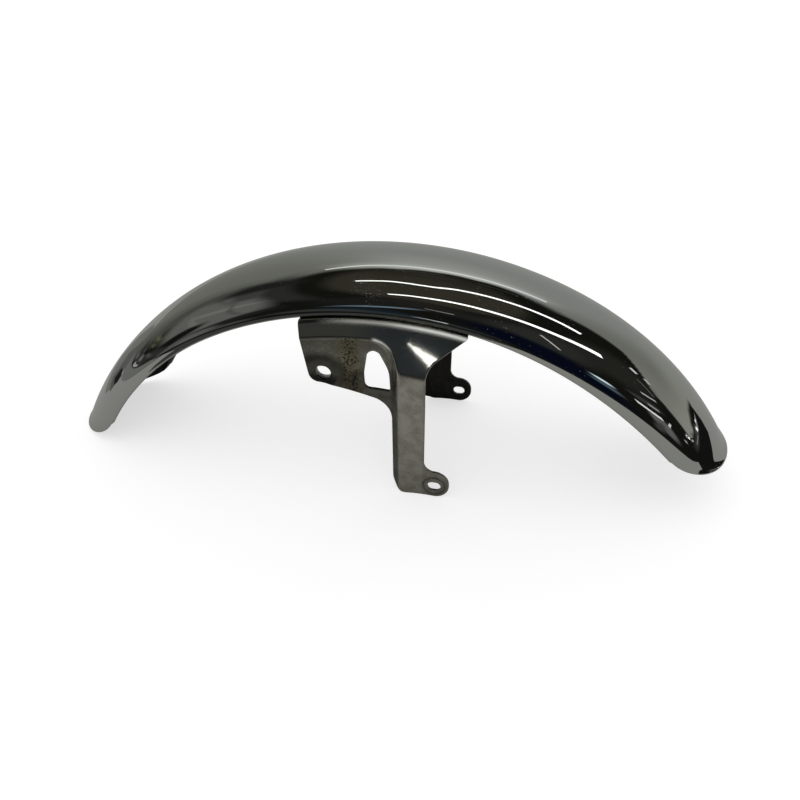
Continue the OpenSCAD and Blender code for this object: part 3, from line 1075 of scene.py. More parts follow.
@dataclass(frozen=True)
class StayWear:
    """Wear, painted shade and painted highlight of a stay: dark, rusty and dull shares,
    each from 0 to 1, and reaches in mm.

    Pairs say where a mark starts and where it is full.
    """

    plate_dark: float = 0.22
    # Painted shade: the ramp between plate and leg is darker
    ramp_shade: float = 0.34
    collar_dirt: float = 0.72
    collar_reach: tuple[float, float] = (23, 15)
    collar_stretch: float = 1.15
    edge_dirt: float = 0.60
    edge_reach: tuple[float, float] = (8, 1)
    crook_dirt: float = 0.42
    crook_reach: tuple[float, float] = (14, 6)
    crook_x: tuple[float, float] = (-10, -2)
    # Painted shade: the leg darkens toward the foot, near the floor
    foot_shade: float = 0.12
    foot_height: tuple[float, float] = (34, 8)
    # Painted shade: a dark ring along the rim of the pad round the lower slot
    pad_rim_shade: float = 0.62
    pad_ring: float = 0.9
    front_dark: float = 0.20
    plate_rust: float = 0.12
    spot_rust: float = 0.80
    spot_x: float = -14.0
    spot_w: float = 10.0
    ramp_rust: float = 0.18
    foot_rust: float = 0.25
    rust_height: tuple[float, float] = (10, 2)
    # Painted highlight: strength of the pale hazy band along the bend, rising toward the
    # front
    bend_highlight_share: tuple[float, float] = (0.50, 0.45)
    bend_w: float = 1.5
    crest_w: float = 0.8
    back: tuple[float, float, float, float] = (0.06, 0.0, 0.0, 0.2)
    collar_wall: tuple[float, float, float, float] = (1.0, 0.0, 0.0, 0.9)


@dataclass
class Stay:
    """One stay: weld flange, shelf, skirt, plate with window and collar, leg and lug.

    The spacing of the mesh is 1.1 mm, and closer in the bends, down the skirt, and round
    pad and dish. Both ring fields are distances from the pad's rim and the dish's middle.
    The path runs down the upper part of the sheet, in rows of arc length, distance from
    the axle and place across. The arc length is 0 where the skirt starts.
    """

    lines: StayLines
    side: Side
    finish: TarnishedChrome
    wear: StayWear = field(default_factory=StayWear)
    spacing: float = 1.1
    bend_rows: float = 0.45
    skirt_rows: float = 0.9
    skirt_run: float = 22.0
    ring_step: float = 0.8
    pad_rings: tuple[float, ...] = (1.5, 1.1, 0.8, 0.5, 0.2, -0.1, -0.5)
    dish_rings: float = 9.3
    edge_r: float = 0.45
    collar_r: float = 0.9
    path: np.ndarray = field(init=False)

    def __post_init__(self) -> None:
        """Bends the upper part: weld flange, bend round the lip, shelf and its bend."""
        s, g = self.lines, self.lines.guard
        ups = np.linspace(s.flange_h, 0.0, 14)
        wall = np.minimum(g.half_w - g.lip_t - s.weld_gap,
                          g.wall_at(ups, g.blade_t + s.weld_gap))
        parts = [np.column_stack([g.lip_r + ups, wall])]
        for radius, rho, y, turn in (
                (s.seat_r, g.lip_r, g.half_w - g.lip_t / 2, np.linspace(190, 270, 8)),
                (s.shelf_r, s.shelf_rho - s.shelf_r, s.shelf_bend_y,
                 np.linspace(90, s.skirt_deg, 9))):
            d = np.radians(turn)
            parts.append(np.column_stack([rho + radius * np.sin(d),
                                          y + radius * np.cos(d)]))
        line = np.vstack(parts)
        lengths = np.linalg.norm(np.diff(line, axis=0), axis=1)
        run = np.concatenate([[0], np.cumsum(lengths)])
        self.path = np.column_stack([run - run[-1], line])

    def point(self, flat: np.ndarray) -> np.ndarray:
        """Bends flat sheet places into space.

        Args:
            flat: rows of x and arc length down the sheet.

        Returns:
            Rows of x, y, z of the outer face on the right side.
        """
        s, g = self.lines, self.lines.guard
        x, run = flat.T
        arc, rho_up, y_up = self.path.T
        low = run >= 0
        rho = np.where(low, s.skirt_start[0] - run, np.interp(run, arc, rho_up))
        tuck = g.lip_at(np.degrees(np.arcsin(x / rho)) + g.turn) - g.lip_r
        z = np.sqrt((rho + tuck) ** 2 - x ** 2)
        y = np.where(low, s.face_y(x, z, rho), np.interp(run, arc, y_up))
        return np.stack([x, -y, z], axis=1)

    def normal(self, flat: np.ndarray) -> np.ndarray:
        """Outward normals of the outer face.

        Args:
            flat: rows of x and arc length down the sheet.

        Returns:
            One unit vector for each place.
        """
        h = 0.12
        across = self.point(flat + [h, 0]) - self.point(flat - [h, 0])
        down = self.point(flat + [0, h]) - self.point(flat - [0, h])
        return unit(np.cross(down, across))

    def flatten(self, loop: np.ndarray) -> np.ndarray:
        """Turns side view points below the shelf into flat sheet places.

        Args:
            loop: rows of x and z.

        Returns:
            Rows of x and arc length down the sheet.
        """
        s, g = self.lines, self.lines.guard
        r = np.hypot(loop[:, 0], loop[:, 1])
        rho = r - g.lip_at(np.degrees(np.arcsin(loop[:, 0] / r)) + g.turn) + g.lip_r
        bend = self.path[:-10:-1]
        run = np.where(rho > s.skirt_start[0], np.interp(rho, bend[:, 1], bend[:, 0]),
                       s.skirt_start[0] - rho)
        return np.stack([loop[:, 0], run], axis=1)

    def outline(self) -> np.ndarray:
        """Outer outline of the flat sheet.

        Returns:
            Rows of x and arc length down the sheet.
        """
        s, g = self.lines, self.lines.guard
        rear_z, gusset_z = g.lip_r - s.plate_drop, g.lip_r - s.gusset_drop
        fall, back = slope(s.plate_edge_deg), slope(s.rear_edge_deg)
        crook_x = ((s.leg_x + s.lean * (rear_z - fall * s.stay_rear - g.floor_z))
                   / (1 + s.lean * fall))
        front = s.leg_x + s.leg_w
        gusset_x = front + s.lean * (gusset_z - g.floor_z)
        rise_z = gusset_z + slope(s.gusset_deg) * (s.stay_front - gusset_x)
        top_z, lug_z = g.lip_r - s.shelf_drop, g.floor_z + s.lug_h
        rear_x = -s.stay_rear - back * (top_z - rear_z)
        corners = [
            (rear_x, top_z, 0),
            (-s.stay_rear, rear_z, s.rear_corner_r),
            (crook_x, rear_z - fall * (s.stay_rear + crook_x), s.crook_r),
            (s.leg_x, g.floor_z, s.foot_r),
            (s.lug_front, g.floor_z, s.lug_r),
            (s.lug_front, lug_z, s.lug_r),
            (front + s.lean * s.lug_h, lug_z, s.lug_crook_r),
            (gusset_x, gusset_z, s.gusset_r),
            (s.stay_front, rise_z, s.gusset_tip_r),
            (s.stay_front, rise_z + 12, 0),
        ]
        lower = self.flatten(rounded(corners)[:-1])
        top = self.path[0, 0] + self.edge_r
        return np.vstack([lower, [[s.stay_front, -6.0], [s.stay_front, top],
                                  [rear_x - back * 4, top], [rear_x, 0.5]]])

    def window(self) -> np.ndarray:
        """Outline of the window in the side view.

        Returns:
            Rows of x and z.
        """
        s, g = self.lines, self.lines.guard
        foot = (g.lip_r - s.plate_drop - slope(s.plate_edge_deg) * (s.stay_rear + 6)
                + s.window_rise)
        w, h, x = s.window_w, s.window_h, s.window_x
        return rounded([
            (-x - 0.8, foot + 0.7, 4.4),
            (w - x, foot - 0.8, 2.0),
            (w - x - 0.2, foot + h * 0.52, 26.0),
            (w * 0.61 - x, foot + h + 0.6, 5.6),
            (w * 0.19 - x, foot + h + 0.2, 6.2),
            (-x - 0.7, foot + h * 0.40, 30.0),
        ])

    def loops(self) -> list[np.ndarray]:
        """Edges of the flat sheet, moved into the sheet by the radius of each edge.

        Returns:
            The outer edge, the window, the slot and the collar's opening.
        """
        s = self.lines
        slot = slot_loop(s.slot_place, s.slot_l, s.slot_w)
        collar = slot_loop(s.collar_place, s.collar_l, s.collar_w)
        return [shifted(resampled(loop, step), inward) for loop, step, inward in (
            (self.outline(), 0.8, self.edge_r),
            (self.flatten(self.window()), 0.7, -self.edge_r),
            (self.flatten(slot), 0.5, -self.edge_r),
            (self.flatten(collar), 0.5, -self.collar_r))]

    def fill(self, loops: Sequence[np.ndarray]) -> np.ndarray:
        """Spreads places across the sheet: an even grid, with closer rows in the bends
        and rings round pad and dish.

        Args:
            loops: edges of the flat sheet.

        Returns:
            Rows of x and arc length down the sheet.
        """
        s = self.lines
        low, high = loops[0].min(axis=0), loops[0].max(axis=0)
        rows = np.concatenate([
            np.arange(self.path[0, 0] + 1.2, 0, self.bend_rows),
            np.arange(0.6, self.skirt_run, self.skirt_rows),
            np.arange(self.skirt_run, high[1], self.spacing),
        ])
        xs = np.arange(low[0], high[0], self.spacing)
        grid = np.stack(np.meshgrid(xs, rows), axis=-1).reshape(-1, 2)
        rings = []
        for place, radii in (
                (s.slot_place, s.pad_r - np.array(self.pad_rings)),
                (s.collar_place, np.linspace(self.dish_rings, s.dish_r + 0.6, 6))):
            centre = self.flatten(np.array([place]))[0]
            grid = grid[np.hypot(*(grid - centre).T) > radii.max() + 0.5]
            for r in radii:
                count = round(2 * math.pi * r / self.ring_step)
                a = np.linspace(0, 2 * math.pi, count, endpoint=False)
                rings.append(centre + r * np.stack([np.cos(a), np.sin(a)], axis=1))
        grid = np.vstack([grid, *rings])
        grid = grid[in_sheet(grid, loops)]
        for loop in loops:
            grid = grid[off_loop(grid, loop, self.spacing / 2)]
        return grid

    def sheet(self) -> tuple[np.ndarray, np.ndarray, list[list[int]]]:
        """Triangulates the flat sheet.

        Returns:
            Rows of x and arc length, the triangles and the vertex indices of each edge.
        """
        loops = self.loops()
        flat = np.vstack([*loops, self.fill(loops)])
        starts = [0, *accumulate(len(loop) for loop in loops)]
        edges = [(first + k, first + (k + 1) % len(loop))
                 for first, loop in zip(starts, loops) for k in range(len(loop))]
        found = delaunay_2d_cdt([Vector(p) for p in flat], edges, [], 0, 1e-5)
        flat, tris = np.array([list(v) for v in found[0]]), np.array(found[2])
        where = {old: new for new, originals in enumerate(found[3]) for old in originals}
        rims = [[where[first + k] for k in range(len(loop))]
                for first, loop in zip(starts, loops)]
        return flat, tris[in_sheet(flat[tris].mean(axis=1), loops)], rims

    def marks(self, flat: np.ndarray, face: np.ndarray) -> np.ndarray:
        """Outer face's wear and painted light: brightness, rust, polish and haziness.

        Args:
            flat: rows of x and arc length down the sheet.
            face: points of the outer face.

        Returns:
            Four shares from 0 to 1 for each point.
        """
        s, g, w = self.lines, self.lines.guard, self.wear
        x, z, run = face[:, 0], face[:, 2], flat[:, 1]
        height = z - g.floor_z
        skirt, level, past = s.levels(x, z, s.skirt_start[0] - run)
        polish = np.where(run < 0, 1.0, ease((level - skirt) / w.crest_w + 0.5))
        plate = fade(past, 1.0, -1.0) * (1 - polish)
        leg = fade(level - s.leg_y, -2.0, -1.0) * (1 - polish)
        ramp = np.clip(1 - plate - leg - polish, 0, 1)
        pad = np.hypot(x - s.slot_x, height - s.slot_z)
        collar = np.hypot((x - s.collar_place[0]) / w.collar_stretch, z - s.collar_place[1])
        edge = (s.plate_drop - (g.lip_r - z)
                - slope(s.plate_edge_deg) * (x + s.stay_rear))
        front = x - s.lean * height - s.leg_x - s.leg_w
        # Dirt lies round the collar, along the lower edge and in the crook
        dirt = np.max([
            w.collar_dirt * fade(collar, *w.collar_reach) * plate,
            w.edge_dirt * fade(edge, *w.edge_reach) * np.clip(plate + ramp, 0, 1),
            w.crook_dirt * fade(edge, *w.crook_reach) * plate * fade(x, *w.crook_x),
        ], axis=0)
        # Brightness also holds painted shade: a darker ramp, a leg darker toward the foot,
        # and a dark ring at the pad's rim
        tone = ((1 - w.plate_dark * plate - w.ramp_shade * ramp) * (1 - dirt)
                * (1 - w.foot_shade * fade(height, *w.foot_height))
                * (1 - w.pad_rim_shade * bell(pad - s.pad_r - 0.1, w.pad_ring))
                * (1 - w.front_dark * fade(front, -2.0, 0.0) * leg))
        rust = np.max([
            plate * (w.plate_rust + w.spot_rust * bell(x - w.spot_x, w.spot_w)),
            w.ramp_rust * ramp,
            w.foot_rust * fade(height, *w.rust_height) * (1 - polish)], axis=0)
        # Painted highlight: a pale hazy band along the bend under the lip, stronger toward
        # the front, and a thin one along the crest
        bend_highlight = bell(run + 0.8, w.bend_w) * (w.bend_highlight_share[0] * fade(x, -44, -4)
                                            + w.bend_highlight_share[1] * fade(x, 6, 46))
        crest = bell(level - skirt, w.crest_w) * fade(x, 3, 7) * fade(x, 21, 17)
        haze_and_highlight = np.maximum(bend_highlight, crest * (run > 1))
        return np.stack([np.clip(tone, 0.02, 1), np.clip(rust, 0, 1), polish,
                         np.clip(haze_and_highlight, 0, 1)], axis=1)

    def cut_profile(self) -> list[tuple[float, float]]:
        """Rounds both arrises of a cut edge.

        Returns:
            Outward move and depth of each step from the outer to the inner face.
        """
        r, t = self.edge_r, self.lines.sheet_t
        top = [(r * math.sin(v), r * (1 - math.cos(v))) for v in np.radians([30, 60, 90])]
        return top + [(out, t - deep) for out, deep in reversed(top)]

    def collar_profile(self) -> list[tuple[float, float]]:
        """Draws the collar inward.

        Returns:
            Pairs of the move toward the hole's middle and the depth below the face.
        """
        s, r = self.lines, self.collar_r
        deep, wall, lip = s.collar_h - s.dish_h, r - s.collar_t, 0.3
        turn = np.radians([15, 30, 45, 60, 75, 90])
        top = [(r * math.sin(v), r * (1 - math.cos(v))) for v in turn]
        return top + [(r, deep - lip), (r - 0.2, deep), (wall + lip, deep),
                      (wall, deep - lip), (wall, s.sheet_t + lip)]

    def close_edge(self, ids: np.ndarray, face: np.ndarray, ways: np.ndarray,
                   tris: np.ndarray, profile: Sequence[tuple[float, float]],
                   start: int) -> tuple[np.ndarray, list[list[int]]]:
        """Closes one edge of the sheet from the outer face to the inner face.

        Args:
            ids: vertex indices along the edge.
            face: points of the outer face.
            ways: outward direction at each point of the edge.
            tris: triangles of the outer face.
            profile: outward move and depth of each step.
            start: index of the first new vertex.

        Returns:
            The new vertices and faces.
        """
        p, size = face[ids], len(ids)
        ahead = np.roll(p, -1, axis=0) - np.roll(p, 1, axis=0)
        out = unit(np.cross(ahead, ways))
        first, second = ids[:2]
        owner = next(list(t) for t in tris if first in t and second in t)
        third = next(v for v in owner if v not in (first, second))
        if (face[third] - p[0]) @ out[0] > 0:
            out = -out
        rings = [p + out * o - ways * d for o, d in profile]
        columns = [ids, *(start + k * size + np.arange(size) for k in range(len(rings))),
                   ids + len(face)]
        turns = [(k, (k + 1) % size) for k in range(size)]
        faces = [[int(v) for v in (a[k], a[m], b[m], b[k])]
                 for a, b in zip(columns, columns[1:]) for k, m in turns]
        if owner[(owner.index(first) + 1) % 3] == second:
            faces = [f[::-1] for f in faces]
        return np.concatenate(rings), faces

    def build(self) -> Object:
        """Builds the stay's mesh and dresses it.

        Returns:
            The stay's object.
        """
        flat, tris, rims = self.sheet()
        face, normals = self.point(flat), self.normal(flat)
        count = len(face)
        spans = face[tris[:, 1:]] - face[tris[:, :1]]
        wrong = np.einsum("ij,ij->i", np.cross(spans[:, 0], spans[:, 1]),
                          normals[tris[:, 0]]) < 0
        tris[wrong] = tris[wrong][:, ::-1]
        points = [face, face - self.lines.sheet_t * normals]
        faces = [*tris.tolist(), *(tris[:, [0, 2, 1]] + count).tolist()]
        marks = [self.marks(flat, face), np.tile(self.wear.back, (count, 1))]
        cut, drawn = self.cut_profile(), self.collar_profile()
        for rim, profile in zip(rims, (cut, cut, cut, drawn)):
            ids = np.array(rim)
            # The collar is drawn straight inward, and its wall past the bend is bright
            ways = normals[ids] if profile is cut else np.array([[0.0, -1.0, 0.0]])
            strip, strip_faces = self.close_edge(ids, face, ways, tris, profile,
                                                 sum(map(len, points)))
            points.append(strip)
            faces += strip_faces
            marks += [marks[0][ids]] * len(cut)
            marks += [np.tile(self.wear.collar_wall, (len(ids), 1))] * (
                len(profile) - len(cut))
        body = np.concatenate(points)
        if self.side is Side.LEFT:
            body = body * [1, -1, 1]
            faces = [f[::-1] for f in faces]
        name = f"{self.side.name.lower()}_stay"
        made = make_piece(name, body, faces, self.lines.guard.offset,
                          np.concatenate(marks))
        made.data.materials.append(self.finish.make())
        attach(made, "root")
        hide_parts(f"{self.side.name.lower()}_bracket")
        return made


# ---- the studio --------------------------------------------------------------------------


@dataclass(frozen=True)
class Lamp:
    """A long lamp or a lit slit on the dome, by directions as seen from the guard.

    Azimuths run from the wall behind the guard (0) to the right (90) and to the camera's
    side (180). Widths and all directions are in degrees.
    """

    name: str
    directions: tuple[tuple[float, float], ...]
    widths: tuple[float, float]
    strength: float
    colour: str = "#ffffff"


@dataclass(frozen=True)
class Patch:
    """A soft-edged area of the room as polished metal shows it.

    The centre, half sizes and turn are in degrees; cover is how much of what lies behind
    it the patch hides.
    """

    az: float
    el: float
    wide: float
    high: float
    light: tuple[float, float, float]
    turn: float = 0.0
    soft: float = 0.9
    cover: float = 1.0

    def mask(self, az: np.ndarray, el: np.ndarray) -> np.ndarray:
        """Gives the patch's share of each direction.

        Args:
            az: azimuths in degrees.
            el: elevations in degrees.

        Returns:
            Shares from 0 to the patch's cover.
        """
        aside = ((az - self.az + 180) % 360 - 180) * math.cos(math.radians(self.el))
        above = el - self.el
        cos, sin = math.cos(math.radians(self.turn)), math.sin(math.radians(self.turn))
        across = (aside * cos + above * sin) / self.wide
        along = (above * cos - aside * sin) / self.high
        return ease((1 - np.hypot(across, along)) / self.soft + 0.5) * self.cover


@dataclass(frozen=True)
class Card:
    """A card on the ground that only polished metal shows, by its corners in metres."""

    name: str
    level: float
    corners: tuple[tuple[float, float], ...]


def square(half: float) -> list[tuple[float, float]]:
    """Corners of a square of a given half width."""
    return [(-half, -half), (half, -half), (half, half), (-half, half)]


def toward(az: np.ndarray, el: np.ndarray) -> np.ndarray:
    """Unit vectors for azimuths and elevations in degrees."""
    a, e = np.radians(az), np.radians(el)
    return np.stack([np.sin(a) * np.cos(e), np.cos(a) * np.cos(e), np.sin(e)], axis=-1)


@dataclass
class Studio:
    """Floor, world, light dome, lamps and camera.

    The eye is in mm from the wheel axle. The wall's lines give an elevation, or a width in
    degrees, at azimuths from left to right.
    """

    eye: tuple[float, float, float] = (120.781, -430.530, 534.782)
    right: tuple[float, float, float] = (0.97357791, 0.22402569, -0.04425533)
    up: tuple[float, float, float] = (-0.09703745, 0.58130193, 0.80788106)
    look: tuple[float, float, float] = (-0.20671182, 0.78224073, -0.58768160)
    lens: float = 607.63 * 36 / 800
    dome_r: float = 30.0
    dome_step: float = 1.0
    floor_half: float = 25.0
    floor_grey: float = 0.8
    floor_faint: float = 0.5
    floor_lift: float = 0.62
    light_level: float = 0.85
    ground_z: float = 0.0003
    shade_z: float = 0.0005
    board_z: float = 0.0006
    card_z: float = 0.0010
    card_step: float = 0.0001
    card_tint: tuple[float, float, float] = (1.0, 1.01, 0.95)
    dark: tuple[float, float, float] = (0.010, 0.010, 0.008)
    ceiling: tuple[float, float, float] = (0.046, 0.042, 0.032)
    wall: tuple[float, float, float] = (0.325, 0.333, 0.321)
    wall_warmth: tuple[float, float, float] = (0.0, -0.015, -0.07)
    wall_top: tuple[tuple[float, float], ...] = (
        (-84, 45), (-72, 49), (-60, 52.5), (-40, 58.8), (-20, 61.7), (0, 61), (20, 58),
        (36, 52.5), (46, 50.5), (56, 46.5), (62, 38), (68, 29.5), (75, 26.3), (80, 24),
        (87, 21), (89.5, 18.5), (91, 6))
    wall_soft: tuple[tuple[float, float], ...] = (
        (-70, 7), (-50, 6), (-30, 4), (-5, 2.5), (10, 2), (25, 2.5), (40, 6), (55, 9),
        (63, 6), (69, 1.2))
    tube_line: tuple[tuple[float, float], ...] = (
        (-60, 48), (-36, 56), (-20, 59), (0, 59.5), (18, 55.5), (38, 48), (46, 45))
    things_top: tuple[tuple[float, float], ...] = (
        (55, 0.5), (60, 2.2), (66, 4.0), (74, 4.4), (80, 3.4), (90, 4.8), (95, 5.6))
    board: tuple[tuple[float, float], ...] = (
        (-0.15, -0.20), (-0.10, -0.265), (0.055, -0.265), (0.30, -1.15), (1.2, -1.45),
        (1.45, -1.3), (1.40, -0.47), (1.56, -0.30), (0.66, -0.13), (0.56, 0.02),
        (0.66, 0.21), (0.98, 0.43), (27.0, 16.8), (27.0, 29.0), (-29.0, 19.0),
        (-29.0, -2.0), (-2.3, -0.15), (-2.1, -0.90), (-1.5, -0.95), (-0.66, -0.52),
        (-0.42, -0.27), (-0.33, -0.20))
    shade: tuple[tuple[float, float], ...] = (
        (-1.5, -1.15), (0.30, -1.15), (0.30, -0.10), (-1.5, -0.10))
    cards: tuple[Card, ...] = (
        Card("dim_gap", 0.20, ((-29.0, -2.0), (-1.5, -0.10), (-1.1, 0.0), (-1.6, 0.25),
                               (-29.0, 9.0))),
        Card("near_wedge", 0.20, ((-1.12, -0.02), (-1.5, -0.10), (-29.0, -2.0),
                                  (-29.0, -12.0), (-1.6, -1.0), (-1.02, -0.60),
                                  (-1.06, -0.30))),
        Card("pale_wedge", 0.205, ((-0.43, 0.02), (-0.42, 0.13), (-0.62, 0.30),
                                   (-1.6, 0.95), (-29.0, 16.0), (-29.0, 9.0),
                                   (-1.6, 0.25), (-0.62, 0.02))),
        Card("dim_wedge", 0.135, ((-0.68, 0.15), (-0.85, 0.30), (-1.7, 0.67),
                                  (-29.0, 13.0), (-29.0, 9.0), (-1.6, 0.25),
                                  (-1.15, 0.14))),
        Card("dim_strip", 0.12, ((-0.54, 0.0), (-0.53, 0.09), (-1.0, 0.27),
                                 (-1.05, 0.06))),
        Card("dark_strip", 0.018, ((-0.66, 0.02), (-0.64, 0.09), (-0.92, 0.19),
                                   (-1.12, 0.19), (-1.15, 0.08), (-0.85, 0.02))),
    )
    lamps: tuple[Lamp, ...] = (
        Lamp("tube_behind", ((-50, 52.5), (-30, 56), (-12, 57.6), (0, 57.3), (20, 53.8),
                             (32, 50), (42, 45.6)), (1.2, 1.5), 1.15),
        Lamp("tube_over", ((-79, 70), (-60, 78), (-20, 84.5), (20, 84), (40, 78.5),
                           (55, 71), (66, 60), (72, 52.5), (77, 45.2)), (1.3, 2.2), 2.6),
        Lamp("tube_front", ((96, 37.5), (105, 50), (113, 60), (125, 67), (140, 71.8),
                            (160, 74), (180, 73.6), (196, 72.5), (210, 69)),
             (3.7, 1.5), 2.8),
        Lamp("tube_far", ((125, 49), (129, 43), (133, 36.5)), (0.9, 0.9), 0.8),
        Lamp("lamp_upper", ((82.4, 28.8), (83.6, 26.4)), (2.2, 2.2), 0.9),
        Lamp("lamp_lower", ((81.8, 23.6), (83.2, 21.6)), (2.2, 2.2), 0.6),
        Lamp("slit_tall", ((90.2, 26), (91.6, 22.5), (93.4, 19)), (0.8, 1.2), 0.16),
        Lamp("slit_long", ((96.6, 17.6), (103.4, 21.6)), (0.9, 1.3), 0.65),
        Lamp("slit_short", ((104.4, 14.2), (109.6, 16.6)), (1.0, 1.2), 0.5),
        Lamp("slit_bright", ((109.4, 10.8), (115, 12.6), (121, 15.4)), (1.4, 2.2), 1.2),
        Lamp("window_low", ((61, -0.3), (66, 0.5), (71, 0.6)), (0.6, 1.2), 0.35),
        Lamp("window_mid", ((85, 3.8), (90, 4.7), (95, 5.5)), (0.8, 1.0), 0.30),
        Lamp("window_end", ((99, 4.0), (101.4, 4.4)), (1.0, 1.0), 0.45),
        Lamp("slit_left", ((-97, 1.0), (-91, 0.8), (-87, 1.2)), (0.7, 1.3), 0.45),
        Lamp("slit_over", ((-178, 47.6), (179, 46.8), (175, 46.4), (171, 46.8)), (0.5, 0.9),
             0.75),
        Lamp("dash_near", ((-22, 64.2), (-6, 64.6), (6, 63.6)), (0.5, 0.5), 0.07),
        Lamp("dash_far", ((-14, 67.6), (2, 68.4), (16, 66.4)), (0.5, 0.5), 0.06),
        Lamp("dash_right", ((24, 61.4), (34, 58.6), (42, 55.6)), (0.6, 0.5), 0.07),
        Lamp("spark_front", ((104, 9.8), (106.5, 9.2), (109, 8.4)), (0.8, 0.9), 0.9),
        Lamp("spark_tip", ((65.8, 0.6), (68.2, 1.1)), (0.8, 0.8), 1.3),
        Lamp("spark_high", ((71, 0.9), (73.6, 1.4)), (1.0, 1.0), 1.7),
        Lamp("spark_round", ((91.2, 4.6), (93.2, 5.3)), (1.3, 1.3), 2.4),
        Lamp("spark_dim", ((87.5, 3.1), (91, 3.5)), (0.6, 0.6), 0.5),
        Lamp("spark_low", ((76, 1.0), (81, 1.4), (86, 1.5)), (0.35, 0.4), 0.3),
        Lamp("lamp_low", ((-172.2, 8.7), (-175.0, 7.7), (-178.4, 6.3)), (0.12, 1.3), 2.4),
    )
    patches: tuple[Patch, ...] = (
        # Behind the camera: dark, with navy cloth and a dim ceiling beyond
        Patch(135, 42, 22, 14, (0.034, 0.035, 0.032)),
        Patch(100, 33, 14, 14, (0.026, 0.026, 0.022)),
        Patch(155, 18, 17, 24, (0.003, 0.005, 0.014), -20, 0.7),
        Patch(-176, 52, 16, 11, (0.022, 0.021, 0.019)),
        Patch(-158, 42, 12, 12, (0.016, 0.017, 0.016)),
        Patch(-165, 33, 12, 1.8, (0.21, 0.28, 0.36), -42),
        Patch(-163, 15, 9, 9, (0.012, 0.021, 0.031)),
        Patch(-172, 4, 15, 7, (0.033, 0.040, 0.046), 0, 0.8),
        Patch(-155, 9, 10, 4.5, (0.056, 0.058, 0.055), -8, 0.9, 0.9),
        # On the left: lit shelves, a dark gap before the wall, and dark below them
        Patch(-100, 46, 24, 6.5, (0.035, 0.035, 0.034), 4),
        Patch(-103, 26, 25, 16, (0.168, 0.165, 0.157), 0, 0.45),
        Patch(-101, 31, 13, 2.0, (0.235, 0.23, 0.22), -42, 0.8),
        Patch(-112, 30, 16, 1.1, (0.10, 0.10, 0.095), 22, 0.9, 0.7),
        Patch(-88, 33, 9, 1.3, (0.12, 0.12, 0.115), -18, 0.9, 0.8),
        Patch(-100, 21, 12, 1.2, (0.24, 0.235, 0.225), 6, 0.9, 0.7),
        Patch(-87, 40, 7, 5, (0.07, 0.07, 0.068)),
        Patch(-76, 42, 5, 13, (0.02, 0.02, 0.019), 3, 1.0),
        Patch(-73, 22, 3, 14, (0.085, 0.085, 0.08), -6, 1.0, 0.8),
        Patch(-84, 9.8, 5, 0.9, (0.17, 0.17, 0.10), -8, 0.9, 0.8),
        Patch(-88, 8.0, 4, 0.8, (0.17, 0.17, 0.11), -8, 0.9, 0.7),
        Patch(-108, 12.5, 6.5, 9.5, (0.01, 0.01, 0.009), 25, 0.6),
        Patch(-119, 4, 5, 8, (0.14, 0.14, 0.135), 25, 0.8, 0.9),
        Patch(-131, 17, 5, 14, (0.02, 0.02, 0.018), 25, 0.8, 0.9),
        Patch(-136, 0, 8, 8, (0.09, 0.09, 0.085), 0, 0.9, 0.9),
        Patch(-127, 5, 5.5, 6.5, (0.165, 0.165, 0.158), 0, 0.8, 0.9),
        Patch(-104, 3.4, 11, 4.0, (0.040, 0.040, 0.037), 0, 0.7),
        Patch(-83, 3.3, 9, 1.9, (0.045, 0.045, 0.042), 8, 0.7),
        Patch(-88, 4.3, 5, 0.4, (0.17, 0.17, 0.165), 6),
        Patch(-79, 2.3, 5, 0.35, (0.19, 0.19, 0.185), 6),
        Patch(-92, 2.7, 4, 0.5, (0.22, 0.22, 0.215), 4),
        Patch(-98, 4.8, 6, 0.5, (0.12, 0.12, 0.115), 8),
        Patch(-106, 1.6, 6, 0.5, (0.01, 0.01, 0.009), 0),
        # On the right: a dim wall and cloth round the small lamps
        Patch(110, 17.2, 8, 2, (0.06, 0.06, 0.06), 22),
        Patch(115, 7.5, 6, 5, (0.17, 0.17, 0.17), 0, 0.6),
        Patch(122, 5, 7, 1.6, (0.07, 0.07, 0.07), -25),
        Patch(134, 18.6, 3.2, 1.5, (1.1, 1.35, 1.45), 25),
        Patch(137, 14, 5, 2.6, (0.10, 0.14, 0.18), 15),
        Patch(74, 1.6, 5, 0.8, (0.14, 0.14, 0.14), 8),
        Patch(84, 1.5, 9, 0.9, (0.05, 0.05, 0.05)),
    )

    def camera(self, offset: np.ndarray) -> None:
        """Sets the camera at the photograph's angle.

        Args:
            offset: step in mm from the axle's frame to the row's frame.
        """
        data = bpy.data.cameras.new("camera")
        data.lens, data.sensor_width = self.lens, 36.0
        data.clip_start, data.clip_end = 0.01, 100.0
        made = add_object("camera", data)
        turn = Matrix([self.right, self.up, [-v for v in self.look]]).transposed()
        made.matrix_world = Matrix.Translation(
            Vector((np.array(self.eye) + offset) * MM)) @ turn.to_4x4()
        bpy.context.scene.camera = made

    def seen(self, tree: NodeTree) -> NodeSocket:
        """Tells the rays that see the background: camera, glossy and transmission.

        Args:
            tree: the node tree.

        Returns:
            1 for those rays and 0 for all others.
        """
        rays = add_node(tree, "LightPath").outputs
        first = combine(tree, rays["Is Camera Ray"], rays["Is Glossy Ray"], "MAXIMUM")
        return combine(tree, first, rays["Is Transmission Ray"], "MAXIMUM")

    def world(self) -> None:
        """Lights the scene evenly from all round and shows white behind it."""
        world = bpy.data.worlds.new("studio")
        tree = empty_tree(world)
        light, white = (add_node(tree, "Background", inputs={
            "Color": grey(1.0), "Strength": level}) for level in (self.light_level, 1.0))
        mix = add_node(tree, "MixShader", inputs={
            0: self.seen(tree), 1: light.outputs[0], 2: white.outputs[0]})
        show(tree, mix.outputs[0], "OutputWorld")
        bpy.context.scene.world = world

